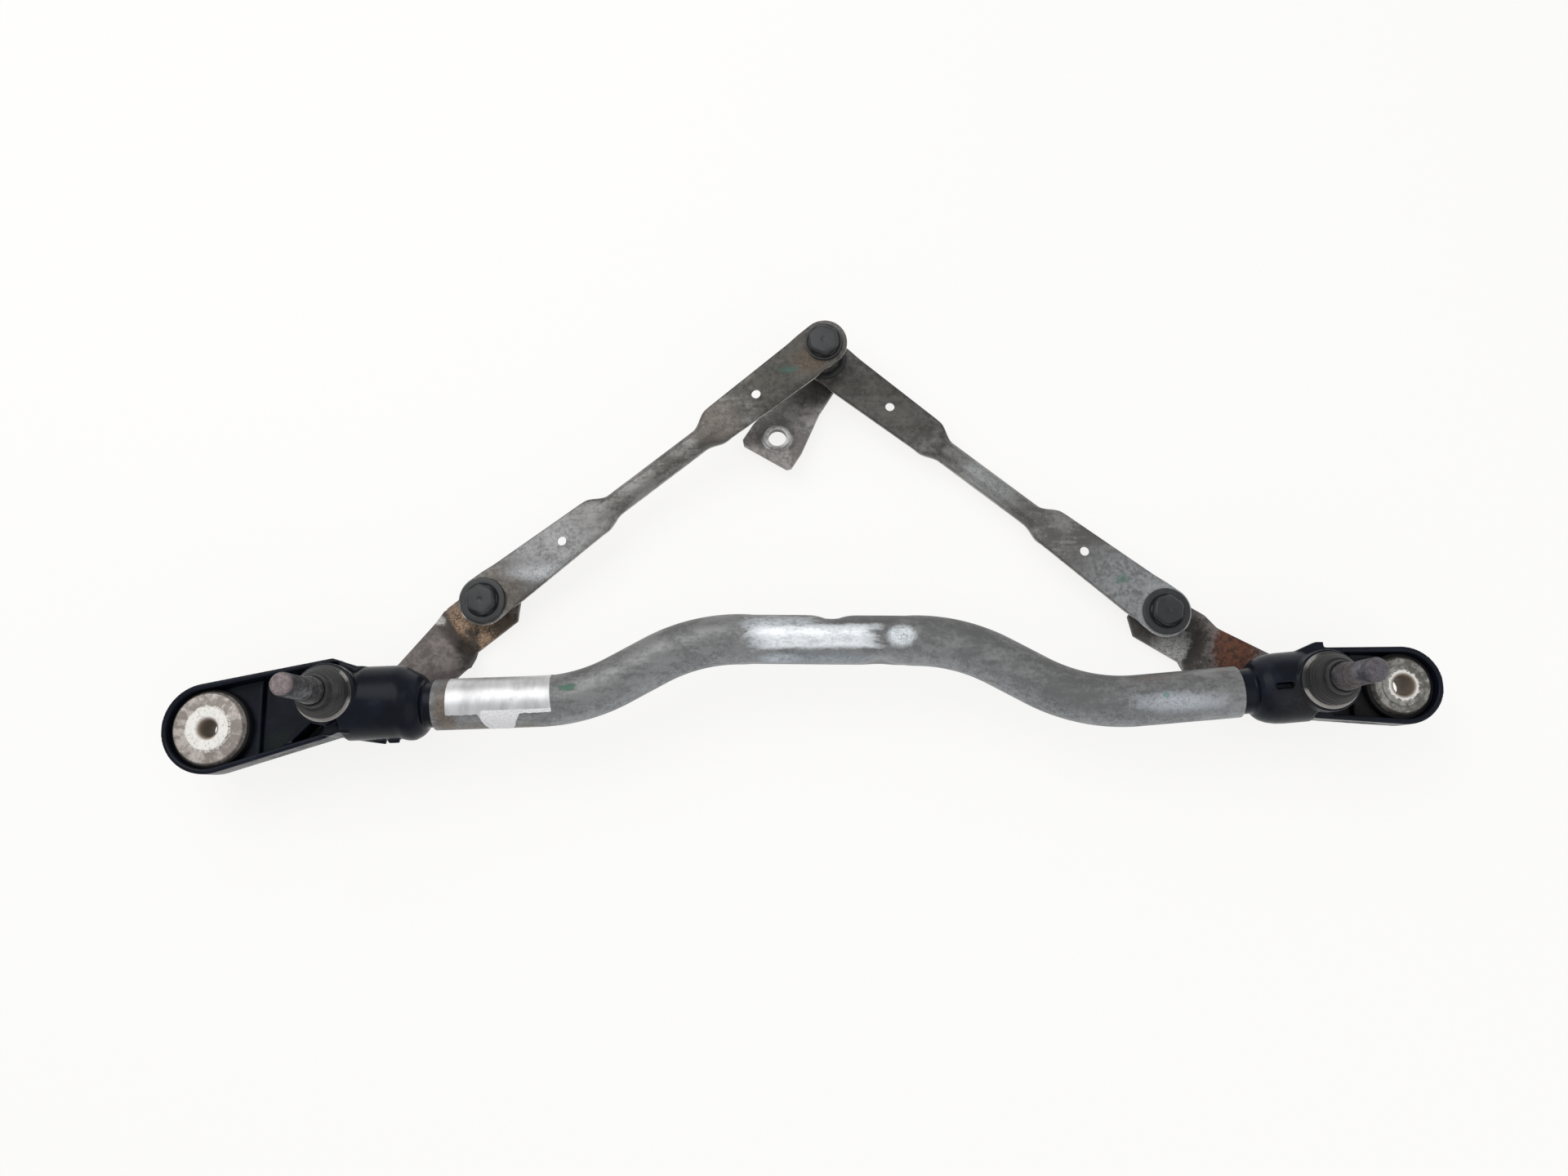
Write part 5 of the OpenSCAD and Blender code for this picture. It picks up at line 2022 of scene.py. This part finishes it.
@dataclass
class CrankUnit:
    """Motor crank with its double ball stud."""

    edge: float = 0.45 * MM

    def build(self) -> None:
        """Builds and seats the crank and dresses its stud."""
        stand_for(softened("crank_arm", "crank_arm_plate", self.edge, 2), "crank_arm", CRANK)
        keep("crank_ball_stud", STUD)


@dataclass
class Studio:
    """Floor, lights and camera."""

    floor_half: float = 30.0
    floor_gap: float = 0.2 * MM
    floor_glow: float = 0.83
    floor_colour: RGB = (0.95, 0.94, 0.925)
    glow_colour: RGB = (1.0, 0.995, 0.985)
    low_sky: RGB = (0.5, 0.5, 0.5)
    high_sky: RGB = (0.62, 0.635, 0.65)
    focal: float = 27.04
    sensor: float = 36.0
    eye: RGB = (0.3176, -0.0416, 0.6245)
    tilt: RGB = (10.25, 1.17, -0.7)
    key_power: float = 5.5
    key_size: float = 0.9
    key_at: RGB = (-0.15, 0.6, 0.95)
    fill_power: float = 2.2
    fill_size: float = 1.2
    fill_at: RGB = (0.95, -0.45, 0.8)
    aim: RGB = (0.32, 0.08, -0.01)

    def floor(self) -> None:
        """Lays a pale floor under the lowest point of the part."""
        low, _ = CAD_BOX
        mesh = bpy.data.meshes.new("floor")
        half = self.floor_half
        corners = [(-half, -half), (half, -half), (half, half), (-half, half)]
        mesh.from_pydata([(x, y, low[2] - self.floor_gap) for x, y in corners], [], [(0, 1, 2, 3)])
        plane = link_in("floor", mesh)
        pale = bpy.data.materials.new("pale_floor")
        pale.use_nodes = True
        g = Graph(pale.node_tree)
        rays = ("Is Camera Ray", "Is Glossy Ray", "Is Transmission Ray")
        camera, glossy, through = (g.node("ShaderNodeLightPath", out=name) for name in rays)
        matt = g.node("ShaderNodeBsdfDiffuse", {}, {"Color": self.floor_colour})
        glow = g.node("ShaderNodeEmission", {}, {"Color": self.glow_colour, "Strength": 1.0})
        share = (camera + glossy + through).at_most(1.0) * self.floor_glow
        both = g.node("ShaderNodeMixShader", {}, {0: share, 1: matt, 2: glow})
        g.node("ShaderNodeOutputMaterial", {}, {"Surface": both})
        mesh.materials.append(pale)

    def lamp(self, name: str, at: RGB, size: float, power: float) -> None:
        """Hangs a square soft light that looks at the part.

        Args:
            name: Name of the light.
            at: Place of the light.
            size: Side of the light.
            power: Power in watts.
        """
        data = bpy.data.lights.new(name, "AREA")
        data.size = size
        data.energy = power
        light = bpy.data.objects.new(name, data)
        light.location = at
        light.rotation_euler = (Vector(self.aim) - Vector(at)).to_track_quat("-Z", "Y").to_euler()
        bpy.context.scene.collection.objects.link(light)

    def sky(self) -> None:
        """Lights the scene with a plain pale sky, brighter overhead."""
        world = bpy.data.worlds.new("studio")
        bpy.context.scene.world = world
        world.use_nodes = True
        g = Graph(world.node_tree)
        way = g.node("ShaderNodeTexCoord", out="Generated")
        height = g.node("ShaderNodeSeparateXYZ", {}, {0: way}, "Z")
        colour = g.mix(height.step(-0.1, 0.9), self.low_sky, self.high_sky)
        light = g.node("ShaderNodeBackground", {}, {"Color": colour, "Strength": 1.0})
        g.node("ShaderNodeOutputWorld", {}, {"Surface": light})

    def camera(self) -> None:
        """Sets the camera where the photograph was taken."""
        data = bpy.data.cameras.new("camera")
        data.sensor_fit = "HORIZONTAL"
        data.sensor_width = self.sensor
        data.lens = self.focal
        data.clip_start = 0.01
        view = bpy.data.objects.new("camera", data)
        view.location = self.eye
        view.rotation_euler = Euler([math.radians(a) for a in self.tilt])
        bpy.context.scene.collection.objects.link(view)
        bpy.context.scene.camera = view

    def build(self) -> None:
        """Builds the whole studio."""
        self.floor()
        self.lamp("key", self.key_at, self.key_size, self.key_power)
        self.lamp("fill", self.fill_at, self.fill_size, self.fill_power)
        self.sky()
        self.camera()
        bpy.context.scene.view_settings.view_transform = "Standard"


def main() -> None:
    """Builds the studio and every sub-assembly."""
    logging.basicConfig(level=logging.INFO, format="%(name)s: %(message)s")
    Studio().build()
    FrameTube().build()
    for side in Side:
        SpindleHousing(side).build()
        LeverUnit(side).build()
        LinkUnit(side).build()
    CrankUnit().build()


if __name__ == "__main__":
    main()
